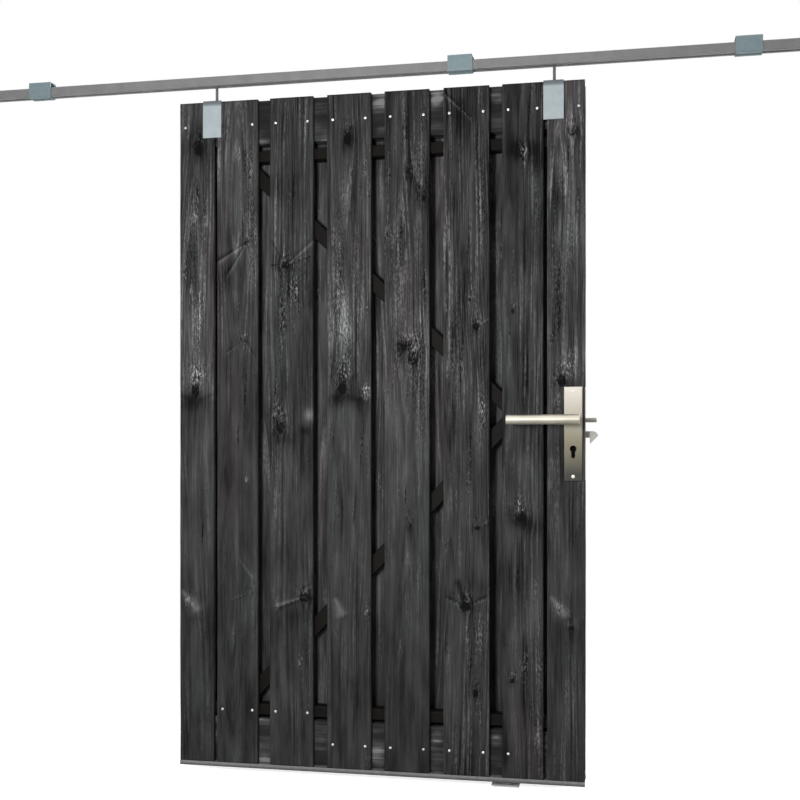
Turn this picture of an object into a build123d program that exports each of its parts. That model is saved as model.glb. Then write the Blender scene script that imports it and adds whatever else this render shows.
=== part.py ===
from build123d import *
import math
import os

# Sliding garden door of stained boards on a steel frame, hung by two trolleys from a
# C-rail. Millimetres, +Z up. The origin is the centre of the two fixing holes on top of
# the middle rail bracket. +X runs along the rail towards the closed position, and the
# lever side with the hook is the leaf's right edge. The front faces -Y. The leaf's middle
# plane, the rail's and the hook's are all Y = 0.

os.makedirs("parts", exist_ok=True)

# Leaf: boards, from left to right
board_length = 1800
board_thickness = 16
front_widths = [98, 116, 121, 121, 121, 121, 107, 97]
front_gaps = [9, 34, 38, 36, 37, 33, 9]
back_width = 120
board_ease = 1.2
batten_height = 117
batten_lift = 3
core_depth = 40

# Leaf: welded steel frame between the boards
tube_wall = 2
tube_face = 30
tube_corner = 3
left_stile_face = 40
lock_stile_face = 60
lock_stile_inset = 3
top_tube_drop = 151
bottom_tube_rise = 157
brace_face = 38
brace_depth = 30
brace_foot_along = 174
brace_meet_along = 919
brace_meet_height = 958
brace_nose = 6
brace_overrun = 100
lock_tube_face = 42
frame_tuck = 2

# Bottom channel, a folded hat section
channel_height = 12
channel_sheet = 2
channel_mouth = 22.6
channel_top = 27
batten_play = 0.4

# Board screws
screw_head = 8
screw_head_depth = 3
screw_shank = 4.2
screw_length = 34
screw_inset = 16
top_screw_drop = 67
low_screw_rise = 75
tube_screw_boards = 3

# Rail, brackets and stops
rail_gap = 52
rail_height = 26
rail_depth = 28
rail_wall = 1.8
rail_corner = 2.5
rail_slot = 10
rail_left = -600
rail_length = 2700
left_bracket_inset = 171
middle_bracket_place = 772
right_bracket_insets = [596, 90]
bracket_width = 66
bracket_sheet = 3
bracket_corner = 4
bracket_slot = 13
bracket_head_room = 12
bracket_hole = 9
bracket_hole_spacing = 36
stop_insets = [473, 171]
stop_length = 30
stop_height = 20
stop_play = 0.2
stop_socket = 5
buffer_thickness = 5
buffer_side = 16

# Hangers and trolleys
hanger_places = [94, 1018]
saddle_width = 52
saddle_leg = 102
saddle_sheet = 4
saddle_bend = 7
saddle_screw_drop = 40
saddle_screw_spacing = 22
saddle_screw_count = 3
saddle_screw_offset = 14
bolt_diameter = 8
bolt_below_nut = 4
bolt_play = 0.05
nut_flats = 13
nut_height = 6.5
washer_diameter = 16
washer_thickness = 1.6
pocket_diameter = 24
pocket_play = 1
trolley_length = 90
trolley_width = 14
trolley_height = 15
trolley_lift = 1.2
bolt_in_trolley = 13
wheel_diameter = 20
wheel_width = 4.5
wheel_spread = 56
wheel_side_play = 0.3
rolling_gap = 0.3
wheel_rim = 1.2
axle_diameter = 5
running_play = 0.05

# Floor guide
floor_gap = 14
guide_place = 892
guide_width = 72
guide_depth = 60
guide_thickness = 3
guide_corner = 5
guide_hole = 5.5
guide_hole_spacing = 58
roller_diameter = 22
roller_height = 17
roller_spread = 33
pin_diameter = 8
shoulder_diameter = 11
roller_bottom = 4
pin_head = 13
pin_head_height = 2
roller_end_play = 0.3

# Lock in the lock stile
backset = 30
spindle_height = 940
cylinder_drop = 74
case_height = 188
case_below_spindle = 34
case_depth = 52
case_thickness = 16
case_wall = 1.5
case_play = 1
faceplate_height = 240
faceplate_width = 24
faceplate_screw_inset = 11
machine_screw_head = 9
machine_screw_shank = 5
faceplate_screw_length = 14
hook_pivot_depth = 42
hook_below_spindle = 37
hook_thickness = 8
hook_neck = 16.8
hook_reach = 32.4
hook_gap = 11.3
hook_beak_drop = 15
hook_flat = 20
hook_shoulder = 14.3
hook_tip_width = 1.5
hook_tip_height = 1
hook_eye = 20
hook_pin = 8
hook_swing = 18
hook_slot_play = 0.8
lift_pin_diameter = 12
lift_pin_bridge = 8
lift_pin_reach = 28.8
lift_pin_root = 8
follower_diameter = 20
spindle_side = 8
spindle_play = 0.1
case_hole_play = 0.05
cylinder_round = 17.2
cylinder_leg = 10.2
cylinder_total = 33

# Handle plates and levers
plate_height = 242
plate_width = 46
plate_thickness = 8
plate_below_spindle = 36
plate_edge = 1.5
plate_bolt_inset = 12
lever_axis_distance = 52
lever_diameter = 27
lever_end_diameter = 24
lever_length = 186
lever_overhang = 19
lever_neck = 18
lever_spigot = 16
lever_gap = 0.3
lever_end_round = 2
socket_depth = 24
spindle_bite = 18
wood_hole_play = 2

# Places that follow from the sizes above
leaf_width = sum(front_widths) + sum(front_gaps)
leaf_height = channel_height + board_length
leaf_thickness = core_depth + 2 * board_thickness
core_front = -core_depth / 2
leaf_front = -leaf_thickness / 2
leaf_back = leaf_thickness / 2
rail_bottom = leaf_height + rail_gap
rail_top = rail_bottom + rail_height
fixing_height = rail_top + bracket_head_room + bracket_sheet
fixing_along = middle_bracket_place
rail_right = rail_left + rail_length
bracket_places = [
    rail_left + left_bracket_inset,
    middle_bracket_place,
    *(rail_right - inset for inset in right_bracket_insets),
]
lock_stile_right = leaf_width - lock_stile_inset
lock_stile_left = lock_stile_right - lock_stile_face
left_stile_right = frame_tuck + left_stile_face
spindle_along = leaf_width - backset
cylinder_height = spindle_height - cylinder_drop
cylinder_leg_length = cylinder_total - cylinder_round / 2 - cylinder_leg / 2
case_centre = spindle_height - case_below_spindle
plate_centre = spindle_height - plate_below_spindle
channel_outer = channel_mouth + 2 * channel_sheet
batten_foot = channel_height + batten_lift
top_tube_height = leaf_height - top_tube_drop
stile_foot = channel_top + channel_sheet + batten_play
running_height = rail_bottom + rail_wall
axle_height = running_height + rolling_gap + wheel_diameter / 2
trolley_foot = running_height + trolley_lift

# The hook's slot reaches from the hook at rest to the hook swung up, and the lift pin
# stands over the slot
hook_pivot_height = spindle_height - hook_below_spindle
swing = math.radians(hook_swing)
hook_rise = hook_pivot_depth * math.tan(swing) + hook_neck / 2 / math.cos(swing)
hook_slot_foot = hook_pivot_height - hook_neck / 2 - hook_slot_play
hook_slot_head = hook_pivot_height + hook_rise + hook_slot_play
lift_pin_height = hook_slot_head + lift_pin_bridge + lift_pin_diameter / 2


def along(distance):
    """X of a point that lies a distance to the right of the leaf's left edge."""
    return distance - fixing_along


def up(height):
    """Z of a point at a height above the leaf's foot."""
    return height - fixing_height


def save(piece, name):
    """Give the finished piece its name and write it as a STEP file."""
    piece.part.label = name
    export_step(piece.part, f"parts/{name}.step")


def front_edges():
    """The left and right edge of every front board, measured along the leaf."""
    edges = []
    left = 0
    for number, width in enumerate(front_widths):
        edges.append((left, left + width))
        left += width
        if number < len(front_gaps):
            left += front_gaps[number]
    return edges


def back_edges():
    """Back boards stand behind the gaps of the front ones, the outer two flush with the leaf."""
    fronts = front_edges()
    edges = [(0, back_width)]
    for one, other in zip(fronts[1:-2], fronts[2:-1]):
        middle = (one[1] + other[0]) / 2
        edges.append((middle - back_width / 2, middle + back_width / 2))
    edges.append((leaf_width - back_width, leaf_width))
    return edges


def plate_bolt_heights():
    """Heights of the two bolts that clamp the handle plates."""
    half = plate_height / 2 - plate_bolt_inset
    return [plate_centre - half, plate_centre + half]


def cylinder_opening(play):
    """The keyhole outline of a profile cylinder, drawn on a plane that faces the front."""
    with Locations((along(spindle_along), up(cylinder_height))):
        Circle(cylinder_round / 2 + play)
    with Locations((along(spindle_along), up(cylinder_height - cylinder_leg_length / 2))):
        SlotCenterToCenter(cylinder_leg_length, cylinder_leg + 2 * play, rotation=90)


def lock_openings():
    """Wide holes in wood and tube for the spindle, the cylinder and the plate bolts."""
    cylinder_opening(wood_hole_play)
    with Locations((along(spindle_along), up(spindle_height))):
        Circle(lever_spigot / 2 + wood_hole_play)
    for height in plate_bolt_heights():
        with Locations((along(spindle_along), up(height))):
            Circle((machine_screw_shank + wood_hole_play) / 2)


def hook_window():
    """The slot that the hook swings in, with the lift pin's hole above it, on the leaf's edge."""
    with Locations((0, up((hook_slot_foot + hook_slot_head) / 2))):
        Rectangle(hook_thickness + 2 * hook_slot_play, hook_slot_head - hook_slot_foot)
    with Locations((0, up(lift_pin_height))):
        Circle(lift_pin_diameter / 2)


def board(left, right, front, drilled):
    """One sawn board with eased long edges, standing on the bottom channel."""
    with BuildPart() as piece:
        with BuildSketch(Plane.XY.offset(up(channel_height))):
            with Locations((along((left + right) / 2), front + board_thickness / 2)):
                Rectangle(right - left, board_thickness)
            chamfer(vertices(), board_ease)
        extrude(amount=board_length)
        if drilled:
            with BuildSketch(Plane.XZ.offset(-front)):
                lock_openings()
            extrude(amount=-board_thickness, mode=Mode.SUBTRACT)
    return piece


def batten(foot, grooved):
    """A horizontal batten between the stiles, as deep as the core."""
    length = lock_stile_left - left_stile_right
    middle = (lock_stile_left + left_stile_right) / 2
    with BuildPart() as piece:
        with BuildSketch(Plane.XY.offset(up(foot))):
            with Locations((along(middle), 0)):
                Rectangle(length, core_depth)
        extrude(amount=batten_height)
        if grooved:
            groove_top = channel_top + channel_sheet + batten_play
            with BuildSketch(Plane.XY.offset(up(foot))):
                with Locations((along(middle), 0)):
                    Rectangle(length, channel_outer + 2 * batten_play)
            extrude(amount=groove_top - foot, mode=Mode.SUBTRACT)
        else:
            pocket_depth = washer_thickness + nut_height + bolt_below_nut + pocket_play
            with Locations(Plane.XY.offset(up(foot + batten_height))):
                with Locations(*[(along(place), 0) for place in hanger_places]):
                    Hole(pocket_diameter / 2, pocket_depth)
    return piece


def upright_tube(left, right, foot, head):
    """A vertical rectangular tube of the frame."""
    middle = (left + right) / 2
    with BuildPart() as piece:
        with BuildSketch(Plane.XY.offset(up(foot))):
            with Locations((along(middle), 0)):
                RectangleRounded(right - left, core_depth, tube_corner)
                RectangleRounded(
                    right - left - 2 * tube_wall,
                    core_depth - 2 * tube_wall,
                    tube_corner - tube_wall,
                    mode=Mode.SUBTRACT,
                )
        extrude(amount=head - foot)
    return piece


def level_tube(left, right, middle_height, face, depth):
    """A horizontal rectangular tube of the frame."""
    with BuildPart() as piece:
        with BuildSketch(Plane.YZ.offset(along(left))):
            with Locations((0, up(middle_height))):
                RectangleRounded(depth, face, tube_corner)
                RectangleRounded(
                    depth - 2 * tube_wall,
                    face - 2 * tube_wall,
                    tube_corner - tube_wall,
                    mode=Mode.SUBTRACT,
                )
        extrude(amount=right - left)
    return piece


def brace(foot_height):
    """A sloping tube from a level tube to the point where both braces meet, mitred there."""
    foot = Vector(along(brace_foot_along), 0, up(foot_height))
    meet = Vector(along(brace_meet_along), 0, up(brace_meet_height))
    run = meet - foot
    start = foot - run.normalized() * brace_overrun
    low, high = sorted((foot.Z, meet.Z))
    nose = meet.X + brace_nose
    with BuildPart() as piece:
        with BuildSketch(Plane(origin=start, x_dir=(0, 1, 0), z_dir=run)):
            RectangleRounded(brace_depth, brace_face, tube_corner)
            RectangleRounded(
                brace_depth - 2 * tube_wall,
                brace_face - 2 * tube_wall,
                tube_corner - tube_wall,
                mode=Mode.SUBTRACT,
            )
        extrude(amount=run.length + 2 * brace_overrun)
        with BuildSketch(Plane.XZ.offset(-brace_depth)):
            with Locations(((foot.X + nose) / 2 - brace_face, (low + high) / 2)):
                Rectangle(nose - foot.X + 2 * brace_face, high - low)
        extrude(amount=2 * brace_depth, mode=Mode.INTERSECT)
    return piece


def screw_places(edges):
    """Distances along the leaf of the two screws in each board."""
    return [(left + screw_inset, right - screw_inset) for left, right in edges]


def wood_screws(places, front):
    """Countersunk wood screws, all along Y: heads flush with the plane at the given depth."""
    inwards = 1 if front < 0 else -1
    with BuildPart() as pieces:
        for distance, height in places:
            axis_plane = Plane(
                origin=(along(distance), front, up(height)),
                x_dir=(1, 0, 0),
                z_dir=(0, inwards, 0),
            )
            with BuildSketch(axis_plane):
                Circle(screw_head / 2)
            with BuildSketch(axis_plane.offset(screw_head_depth)):
                Circle(screw_shank / 2)
            loft()
            with BuildSketch(axis_plane.offset(screw_head_depth)):
                Circle(screw_shank / 2)
            extrude(amount=screw_length - screw_head_depth)
    return pieces


def machine_screws(planes, length):
    """Countersunk machine screws whose heads are flush with the given planes."""
    with BuildPart() as pieces:
        for plane in planes:
            head_depth = (machine_screw_head - machine_screw_shank) / 2
            with BuildSketch(plane):
                Circle(machine_screw_head / 2)
            with BuildSketch(plane.offset(head_depth)):
                Circle(machine_screw_shank / 2)
            loft()
            with BuildSketch(plane.offset(head_depth)):
                Circle(machine_screw_shank / 2)
            extrude(amount=length - head_depth)
    return pieces


# Front and back boards
for number, (left, right) in enumerate(front_edges(), start=1):
    last = number == len(front_widths)
    save(board(left, right, leaf_front, last), f"front_board_{number}")

for number, (left, right) in enumerate(back_edges(), start=1):
    last = number == len(back_edges())
    save(board(left, right, -core_front, last), f"back_board_{number}")

# Battens: the top one has a pocket under each hanger, the bottom one a groove for the channel
save(batten(leaf_height - batten_height, False), "top_batten")
save(batten(batten_foot, True), "bottom_batten")

# Frame tubes
save(upright_tube(frame_tuck, left_stile_right, stile_foot, leaf_height - frame_tuck), "left_stile")
save(level_tube(left_stile_right, lock_stile_left, top_tube_height, tube_face, core_depth), "top_tube")
save(level_tube(left_stile_right, lock_stile_left, bottom_tube_rise, tube_face, core_depth), "bottom_tube")
save(brace(top_tube_height - tube_face / 2), "upper_brace")
save(brace(bottom_tube_rise + tube_face / 2), "lower_brace")
save(
    level_tube(
        brace_meet_along + brace_nose,
        lock_stile_left,
        brace_meet_height,
        lock_tube_face,
        brace_depth,
    ),
    "lock_tube",
)

# The lock stile is cut open for the lock case, the spindle, the cylinder and the bolts
plain_stile = upright_tube(lock_stile_left, lock_stile_right, stile_foot, leaf_height - frame_tuck)
with BuildPart() as lock_stile:
    add(plain_stile.part)
    with BuildSketch(Plane.YZ.offset(along(lock_stile_right))):
        with Locations((0, up(case_centre))):
            Rectangle(case_thickness + case_play, case_height + case_play)
    extrude(amount=-tube_wall, mode=Mode.SUBTRACT)
    with BuildSketch(Plane.XZ.offset(core_depth / 2)):
        lock_openings()
    extrude(amount=-core_depth, mode=Mode.SUBTRACT)
    for side in (-1, 1):
        screw_offset = side * (faceplate_height / 2 - faceplate_screw_inset)
        with BuildSketch(Plane.YZ.offset(along(lock_stile_right))):
            with Locations((0, up(case_centre + screw_offset))):
                Circle(machine_screw_shank / 2)
        extrude(amount=-tube_wall, mode=Mode.SUBTRACT)
save(lock_stile, "lock_stile")

# Bottom channel: one folded sheet, lip, web, channel, web, lip
with BuildPart() as bottom_channel:
    with BuildSketch(Plane.YZ.offset(along(0))):
        with Locations((0, up(channel_height / 2))):
            Rectangle(leaf_thickness, channel_height)
        with Locations((0, up((channel_height - channel_sheet) / 2))):
            Rectangle(
                leaf_thickness - 2 * channel_sheet,
                channel_height - channel_sheet,
                mode=Mode.SUBTRACT,
            )
        with Locations((0, up((channel_height + channel_top) / 2))):
            Rectangle(channel_outer, channel_top + 2 * channel_sheet - channel_height)
        with Locations((0, up(channel_top / 2))):
            Rectangle(channel_mouth, channel_top, mode=Mode.SUBTRACT)
    extrude(amount=leaf_width)
save(bottom_channel, "bottom_channel")

# Board screws of both sides in one node
screw_spots = []
for number, pair in enumerate(screw_places(front_edges()), start=1):
    low_height = bottom_tube_rise if number <= tube_screw_boards else low_screw_rise
    for distance in pair:
        screw_spots.append((distance, leaf_height - top_screw_drop))
        screw_spots.append((distance, low_height))
back_spots = []
for pair in screw_places(back_edges()):
    for distance in pair:
        back_spots.append((distance, leaf_height - top_screw_drop))
        back_spots.append((distance, low_screw_rise))
front_screws = wood_screws(screw_spots, leaf_front)
back_screws = wood_screws(back_spots, leaf_back)
with BuildPart() as board_screws:
    add(front_screws.part)
    add(back_screws.part)
save(board_screws, "board_screws")

# Hanger saddles: a strap folded over the leaf's top, plain in front, screwed behind
saddle_spots = []
for place in hanger_places:
    for row in range(saddle_screw_count):
        side = -1 if row % 2 else 1
        drop = saddle_screw_drop + row * saddle_screw_spacing
        saddle_spots.append((place + side * saddle_screw_offset, leaf_height + saddle_sheet - drop))
saddle_screws = wood_screws(saddle_spots, leaf_back + saddle_sheet)
save(saddle_screws, "saddle_screws")

for name, place in zip(("left", "right"), hanger_places):
    with BuildPart() as saddle:
        with BuildSketch(Plane.YZ.offset(along(place - saddle_width / 2))):
            with Locations((0, up(leaf_height + saddle_sheet - saddle_leg / 2))):
                strap = Rectangle(leaf_thickness + 2 * saddle_sheet, saddle_leg)
            fillet(strap.vertices().group_by(Axis.Y)[-1], saddle_bend)
            with Locations((0, up(leaf_height - saddle_leg / 2))):
                Rectangle(leaf_thickness, saddle_leg, mode=Mode.SUBTRACT)
        extrude(amount=saddle_width)
        with Locations(Plane.XY.offset(up(leaf_height + saddle_sheet))):
            with Locations((along(place), 0)):
                Hole(bolt_diameter / 2 + bolt_play, saddle_sheet)
        add(saddle_screws.part, mode=Mode.SUBTRACT)
    save(saddle, f"hanger_saddle_{name}")

# Hanging bolts: studs from the trolleys down through the saddles
bolt_top = trolley_foot + bolt_in_trolley
bolt_foot = leaf_height - washer_thickness - nut_height - bolt_below_nut
with BuildPart() as hanger_bolts:
    with BuildSketch(Plane.XY.offset(up(bolt_foot))):
        with Locations(*[(along(place), 0) for place in hanger_places]):
            Circle(bolt_diameter / 2)
    extrude(amount=bolt_top - bolt_foot)
save(hanger_bolts, "hanger_bolts")


def nut_and_washer(washer_foot, direction):
    """A washer against the saddle and a hexagon nut behind it, in the given direction."""
    spots = [(along(place), 0) for place in hanger_places]
    with BuildPart() as pair:
        with BuildSketch(Plane.XY.offset(up(washer_foot))):
            with Locations(*spots):
                Circle(washer_diameter / 2)
            with Locations(*spots):
                Circle(bolt_diameter / 2 + bolt_play, mode=Mode.SUBTRACT)
        extrude(amount=direction * washer_thickness)
        nut_foot = washer_foot + direction * (washer_thickness + bolt_play)
        with BuildSketch(Plane.XY.offset(up(nut_foot))):
            with Locations(*spots):
                RegularPolygon(nut_flats / 2, 6, major_radius=False)
            with Locations(*spots):
                Circle(bolt_diameter / 2 + bolt_play, mode=Mode.SUBTRACT)
        extrude(amount=direction * nut_height)
    return pair


upper_nuts = nut_and_washer(leaf_height + saddle_sheet, 1)
lower_nuts = nut_and_washer(leaf_height, -1)
with BuildPart() as hanger_nuts:
    add(upper_nuts.part)
    add(lower_nuts.part)
save(hanger_nuts, "hanger_nuts")

# Trolleys: a block between the wheels, with two axles each
trolley_places = dict(zip(("left", "right"), hanger_places))
axle_offsets = (-wheel_spread / 2, wheel_spread / 2)
for name, place in trolley_places.items():
    with BuildPart() as trolley:
        with BuildSketch(Plane.XY.offset(up(trolley_foot))):
            with Locations((along(place), 0)):
                RectangleRounded(trolley_length, trolley_width, trolley_width / 4)
                Circle(bolt_diameter / 2 + bolt_play, mode=Mode.SUBTRACT)
        extrude(amount=trolley_height)
        with BuildSketch(Plane.XZ.offset(trolley_width / 2)):
            with Locations(*[(along(place + shift), up(axle_height)) for shift in axle_offsets]):
                Circle(axle_diameter / 2)
        extrude(amount=-trolley_width, mode=Mode.SUBTRACT)
    save(trolley, f"trolley_{name}")

wheel_face = rail_depth / 2 - rail_wall - wheel_side_play
with BuildPart() as trolley_axles:
    with BuildSketch(Plane.XZ.offset(wheel_face)):
        for place in hanger_places:
            with Locations(*[(along(place + shift), up(axle_height)) for shift in axle_offsets]):
                Circle(axle_diameter / 2)
    extrude(amount=-2 * wheel_face)
save(trolley_axles, "trolley_axles")

# Wheel pairs: a turned wheel with a rim on each side of the block
for name, place in trolley_places.items():
    for end, shift in zip(("rear", "lead"), axle_offsets):
        with BuildPart() as wheel_pair:
            for side in (-1, 1):
                outer_face = Plane(
                    origin=(along(place + shift), side * wheel_face, up(axle_height)),
                    x_dir=(1, 0, 0),
                    z_dir=(0, -side, 0),
                )
                with BuildSketch(outer_face):
                    Circle(wheel_diameter / 2)
                    Circle(axle_diameter / 2 + running_play, mode=Mode.SUBTRACT)
                extrude(amount=wheel_width)
                with BuildSketch(outer_face):
                    Circle(wheel_diameter / 2 - 2 * wheel_rim)
                    Circle(axle_diameter / 2 + 2 * wheel_rim, mode=Mode.SUBTRACT)
                extrude(amount=wheel_rim, mode=Mode.SUBTRACT)
        save(wheel_pair, f"wheels_{name}_{end}")

# Rail: a C-section, slotted below for the hanging bolts
with BuildPart() as rail:
    with BuildSketch(Plane.YZ.offset(along(rail_left))):
        with Locations((0, up((rail_bottom + rail_top) / 2))):
            RectangleRounded(rail_depth, rail_height, rail_corner)
            RectangleRounded(
                rail_depth - 2 * rail_wall,
                rail_height - 2 * rail_wall,
                rail_corner - rail_wall,
                mode=Mode.SUBTRACT,
            )
        with Locations((0, up(rail_bottom + rail_wall / 2))):
            Rectangle(rail_slot, rail_wall, mode=Mode.SUBTRACT)
    extrude(amount=rail_length)
save(rail, "rail")

# Rail brackets: sleeves folded round the rail, open below for the bolts, with room for
# the heads of the fixing bolts above the rail
sleeve_height = bracket_sheet + rail_height + bracket_head_room + bracket_sheet
for number, place in enumerate(bracket_places, start=1):
    with BuildPart() as bracket:
        with BuildSketch(Plane.YZ.offset(along(place - bracket_width / 2))):
            with Locations((0, -sleeve_height / 2)):
                RectangleRounded(rail_depth + 2 * bracket_sheet, sleeve_height, bracket_corner)
                RectangleRounded(
                    rail_depth,
                    sleeve_height - 2 * bracket_sheet,
                    bracket_corner - bracket_sheet,
                    mode=Mode.SUBTRACT,
                )
            with Locations((0, bracket_sheet / 2 - sleeve_height)):
                Rectangle(bracket_slot, bracket_sheet, mode=Mode.SUBTRACT)
        extrude(amount=bracket_width)
        with Locations(Plane.XY):
            with Locations((along(place), 0)):
                with GridLocations(bracket_hole_spacing, 0, 2, 1):
                    Hole(bracket_hole / 2, bracket_sheet)
    save(bracket, f"rail_bracket_{number}")

# Stops inside the rail, each with a rubber buffer towards the trolley: the outer end of
# each stop and the direction from it to the trolleys
stop_ends = [(rail_left + stop_insets[0], 1), (rail_right - stop_insets[1], -1)]
stop_width = rail_depth - 2 * rail_wall - 2 * stop_play
with BuildPart() as rail_stops:
    for outer_end, inwards in stop_ends:
        with BuildSketch(Plane.YZ.offset(along(outer_end))):
            with Locations((0, up(running_height + stop_height / 2))):
                RectangleRounded(stop_width, stop_height, rail_corner)
        extrude(amount=inwards * stop_length)
        with BuildSketch(Plane.XY.offset(up(running_height))):
            with Locations((along(outer_end + inwards * stop_length / 2), 0)):
                RegularPolygon(stop_socket / 2, 6, major_radius=False)
        extrude(amount=stop_socket, mode=Mode.SUBTRACT)
save(rail_stops, "rail_stops")

with BuildPart() as stop_buffers:
    for outer_end, inwards in stop_ends:
        with BuildSketch(Plane.YZ.offset(along(outer_end + inwards * stop_length))):
            with Locations((0, up(running_height + stop_height / 2))):
                RectangleRounded(buffer_side, buffer_side, buffer_side / 4)
        extrude(amount=inwards * buffer_thickness)
save(stop_buffers, "stop_buffers")

# Floor guide: a plate on the floor with two riveted pins, and a roller on each
roller_spots = [(along(guide_place + side * roller_spread / 2), 0) for side in (-1, 1)]
roller_top = roller_bottom + roller_height
plate_top = guide_thickness - floor_gap
with BuildPart() as floor_guide_plate:
    with BuildSketch(Plane.XY.offset(up(-floor_gap))):
        with Locations((along(guide_place), 0)):
            RectangleRounded(guide_width, guide_depth, guide_corner)
    extrude(amount=guide_thickness)
    with Locations(Plane.XY.offset(up(plate_top))):
        with Locations((along(guide_place), 0)):
            with GridLocations(guide_hole_spacing, 0, 2, 1):
                Hole(guide_hole / 2, guide_thickness)
    with BuildSketch(Plane.XY.offset(up(plate_top))):
        with Locations(*roller_spots):
            Circle(shoulder_diameter / 2)
    extrude(amount=roller_bottom - roller_end_play - plate_top)
    with BuildSketch(Plane.XY.offset(up(plate_top))):
        with Locations(*roller_spots):
            Circle(pin_diameter / 2)
    extrude(amount=roller_top + roller_end_play - plate_top)
    with BuildSketch(Plane.XY.offset(up(roller_top + roller_end_play))):
        with Locations(*roller_spots):
            Circle(pin_head / 2)
    extrude(amount=pin_head_height)
save(floor_guide_plate, "floor_guide_plate")

for number, spot in enumerate(roller_spots, start=1):
    with BuildPart() as roller:
        with BuildSketch(Plane.XY.offset(up(roller_bottom))):
            with Locations(spot):
                Circle(roller_diameter / 2)
                Circle(pin_diameter / 2 + running_play, mode=Mode.SUBTRACT)
        extrude(amount=roller_height)
        chamfer(roller.edges().filter_by(GeomType.CIRCLE).sort_by(SortBy.RADIUS)[-2:], wheel_rim)
    save(roller, f"guide_roller_{number}")

# Lock case: a closed box of sheet with the holes of the follower and the cylinder, the
# hook's window in its front wall and the hook's pivot across it
case_front = lock_stile_right
with BuildPart() as lock_case:
    with BuildSketch(Plane.XY.offset(up(case_centre - case_height / 2))):
        with Locations((along(case_front - case_depth / 2), 0)):
            Rectangle(case_depth, case_thickness)
    extrude(amount=case_height)
    offset(amount=-case_wall, mode=Mode.SUBTRACT)
    with BuildSketch(Plane.XZ.offset(case_thickness / 2)):
        with Locations((along(spindle_along), up(spindle_height))):
            Circle(follower_diameter / 2 + case_hole_play)
        cylinder_opening(0)
    extrude(amount=-case_thickness, mode=Mode.SUBTRACT)
    with BuildSketch(Plane.YZ.offset(along(case_front))):
        hook_window()
    extrude(amount=-case_wall, mode=Mode.SUBTRACT)
    with BuildSketch(Plane.XZ.offset(case_thickness / 2 - case_wall)):
        with Locations((along(leaf_width - hook_pivot_depth), up(hook_pivot_height))):
            Circle(hook_pin / 2)
    extrude(amount=2 * case_wall - case_thickness)
save(lock_case, "lock_case")

# Faceplate, flush with the leaf's edge
faceplate_screw_heights = [
    case_centre - faceplate_height / 2 + faceplate_screw_inset,
    case_centre + faceplate_height / 2 - faceplate_screw_inset,
]
with BuildPart() as lock_faceplate:
    with BuildSketch(Plane.YZ.offset(along(case_front))):
        with Locations((0, up(case_centre))):
            RectangleRounded(faceplate_width, faceplate_height, faceplate_width / 4)
    extrude(amount=lock_stile_inset)
    with BuildSketch(Plane.YZ.offset(along(case_front))):
        hook_window()
    extrude(amount=lock_stile_inset, mode=Mode.SUBTRACT)
    for height in faceplate_screw_heights:
        screw_plane = Plane(
            origin=(along(leaf_width), 0, up(height)), x_dir=(0, 1, 0), z_dir=(1, 0, 0)
        )
        with Locations(screw_plane):
            CounterSinkHole(machine_screw_shank / 2, machine_screw_head / 2, lock_stile_inset)
save(lock_faceplate, "lock_faceplate")

faceplate_screw_planes = [
    Plane(origin=(along(leaf_width), 0, up(height)), x_dir=(0, 1, 0), z_dir=(-1, 0, 0))
    for height in faceplate_screw_heights
]
save(machine_screws(faceplate_screw_planes, faceplate_screw_length), "faceplate_screws")

# Pin above the hook that keeps the leaf from being lifted off
with BuildPart() as lift_pin:
    with BuildSketch(Plane.YZ.offset(along(case_front - lift_pin_root))):
        with Locations((0, up(lift_pin_height))):
            Circle(lift_pin_diameter / 2)
    extrude(amount=lift_pin_root + lock_stile_inset + lift_pin_reach)
    chamfer(lift_pin.edges().sort_by(Axis.X)[-1], lift_pin_diameter / 8)
save(lift_pin, "lift_pin")

# Hook: an eye on the pivot, a neck out through the faceplate and a beak that points down
hook_top = hook_pivot_height + hook_neck / 2
hook_under = hook_pivot_height - hook_neck / 2
hook_tip = hook_under - hook_beak_drop
hook_inner = leaf_width + hook_gap
hook_nose = leaf_width + hook_reach
hook_eye_along = leaf_width - hook_pivot_depth
hook_lower_face = hook_pivot_height - hook_neck / 6
with BuildPart() as hook:
    with BuildSketch(Plane.XZ.offset(hook_thickness / 2)):
        with BuildLine():
            Polyline(
                (along(hook_eye_along), up(hook_under)),
                (along(hook_inner), up(hook_under)),
                (along(hook_inner), up(hook_tip + hook_tip_height)),
                (along(hook_inner + hook_tip_width), up(hook_tip)),
                (along(hook_nose), up(hook_lower_face)),
            )
            RadiusArc(
                (along(hook_nose), up(hook_lower_face)),
                (along(leaf_width + hook_flat), up(hook_top)),
                -hook_shoulder,
            )
            Polyline(
                (along(leaf_width + hook_flat), up(hook_top)),
                (along(hook_eye_along), up(hook_top)),
                (along(hook_eye_along), up(hook_under)),
            )
        make_face()
        with Locations((along(hook_eye_along), up(hook_pivot_height))):
            Circle(hook_eye / 2 - hook_slot_play)
            Circle(hook_pin / 2 + running_play, mode=Mode.SUBTRACT)
    extrude(amount=-hook_thickness)
save(hook, "hook")

# Follower: the round hub in the lock that the square spindle turns
with BuildPart() as lock_follower:
    with BuildSketch(Plane.XZ.offset(case_thickness / 2)):
        with Locations((along(spindle_along), up(spindle_height))):
            Circle(follower_diameter / 2)
            Rectangle(
                spindle_side + spindle_play, spindle_side + spindle_play, mode=Mode.SUBTRACT
            )
    extrude(amount=-case_thickness)
save(lock_follower, "lock_follower")

# Square spindle through the leaf
spindle_half = leaf_back + plate_thickness + spindle_bite
with BuildPart() as spindle:
    with BuildSketch(Plane.XZ.offset(spindle_half)):
        with Locations((along(spindle_along), up(spindle_height))):
            Rectangle(spindle_side, spindle_side)
            chamfer(vertices(), spindle_side / 12)
    extrude(amount=-2 * spindle_half)
save(spindle, "spindle")


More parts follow.
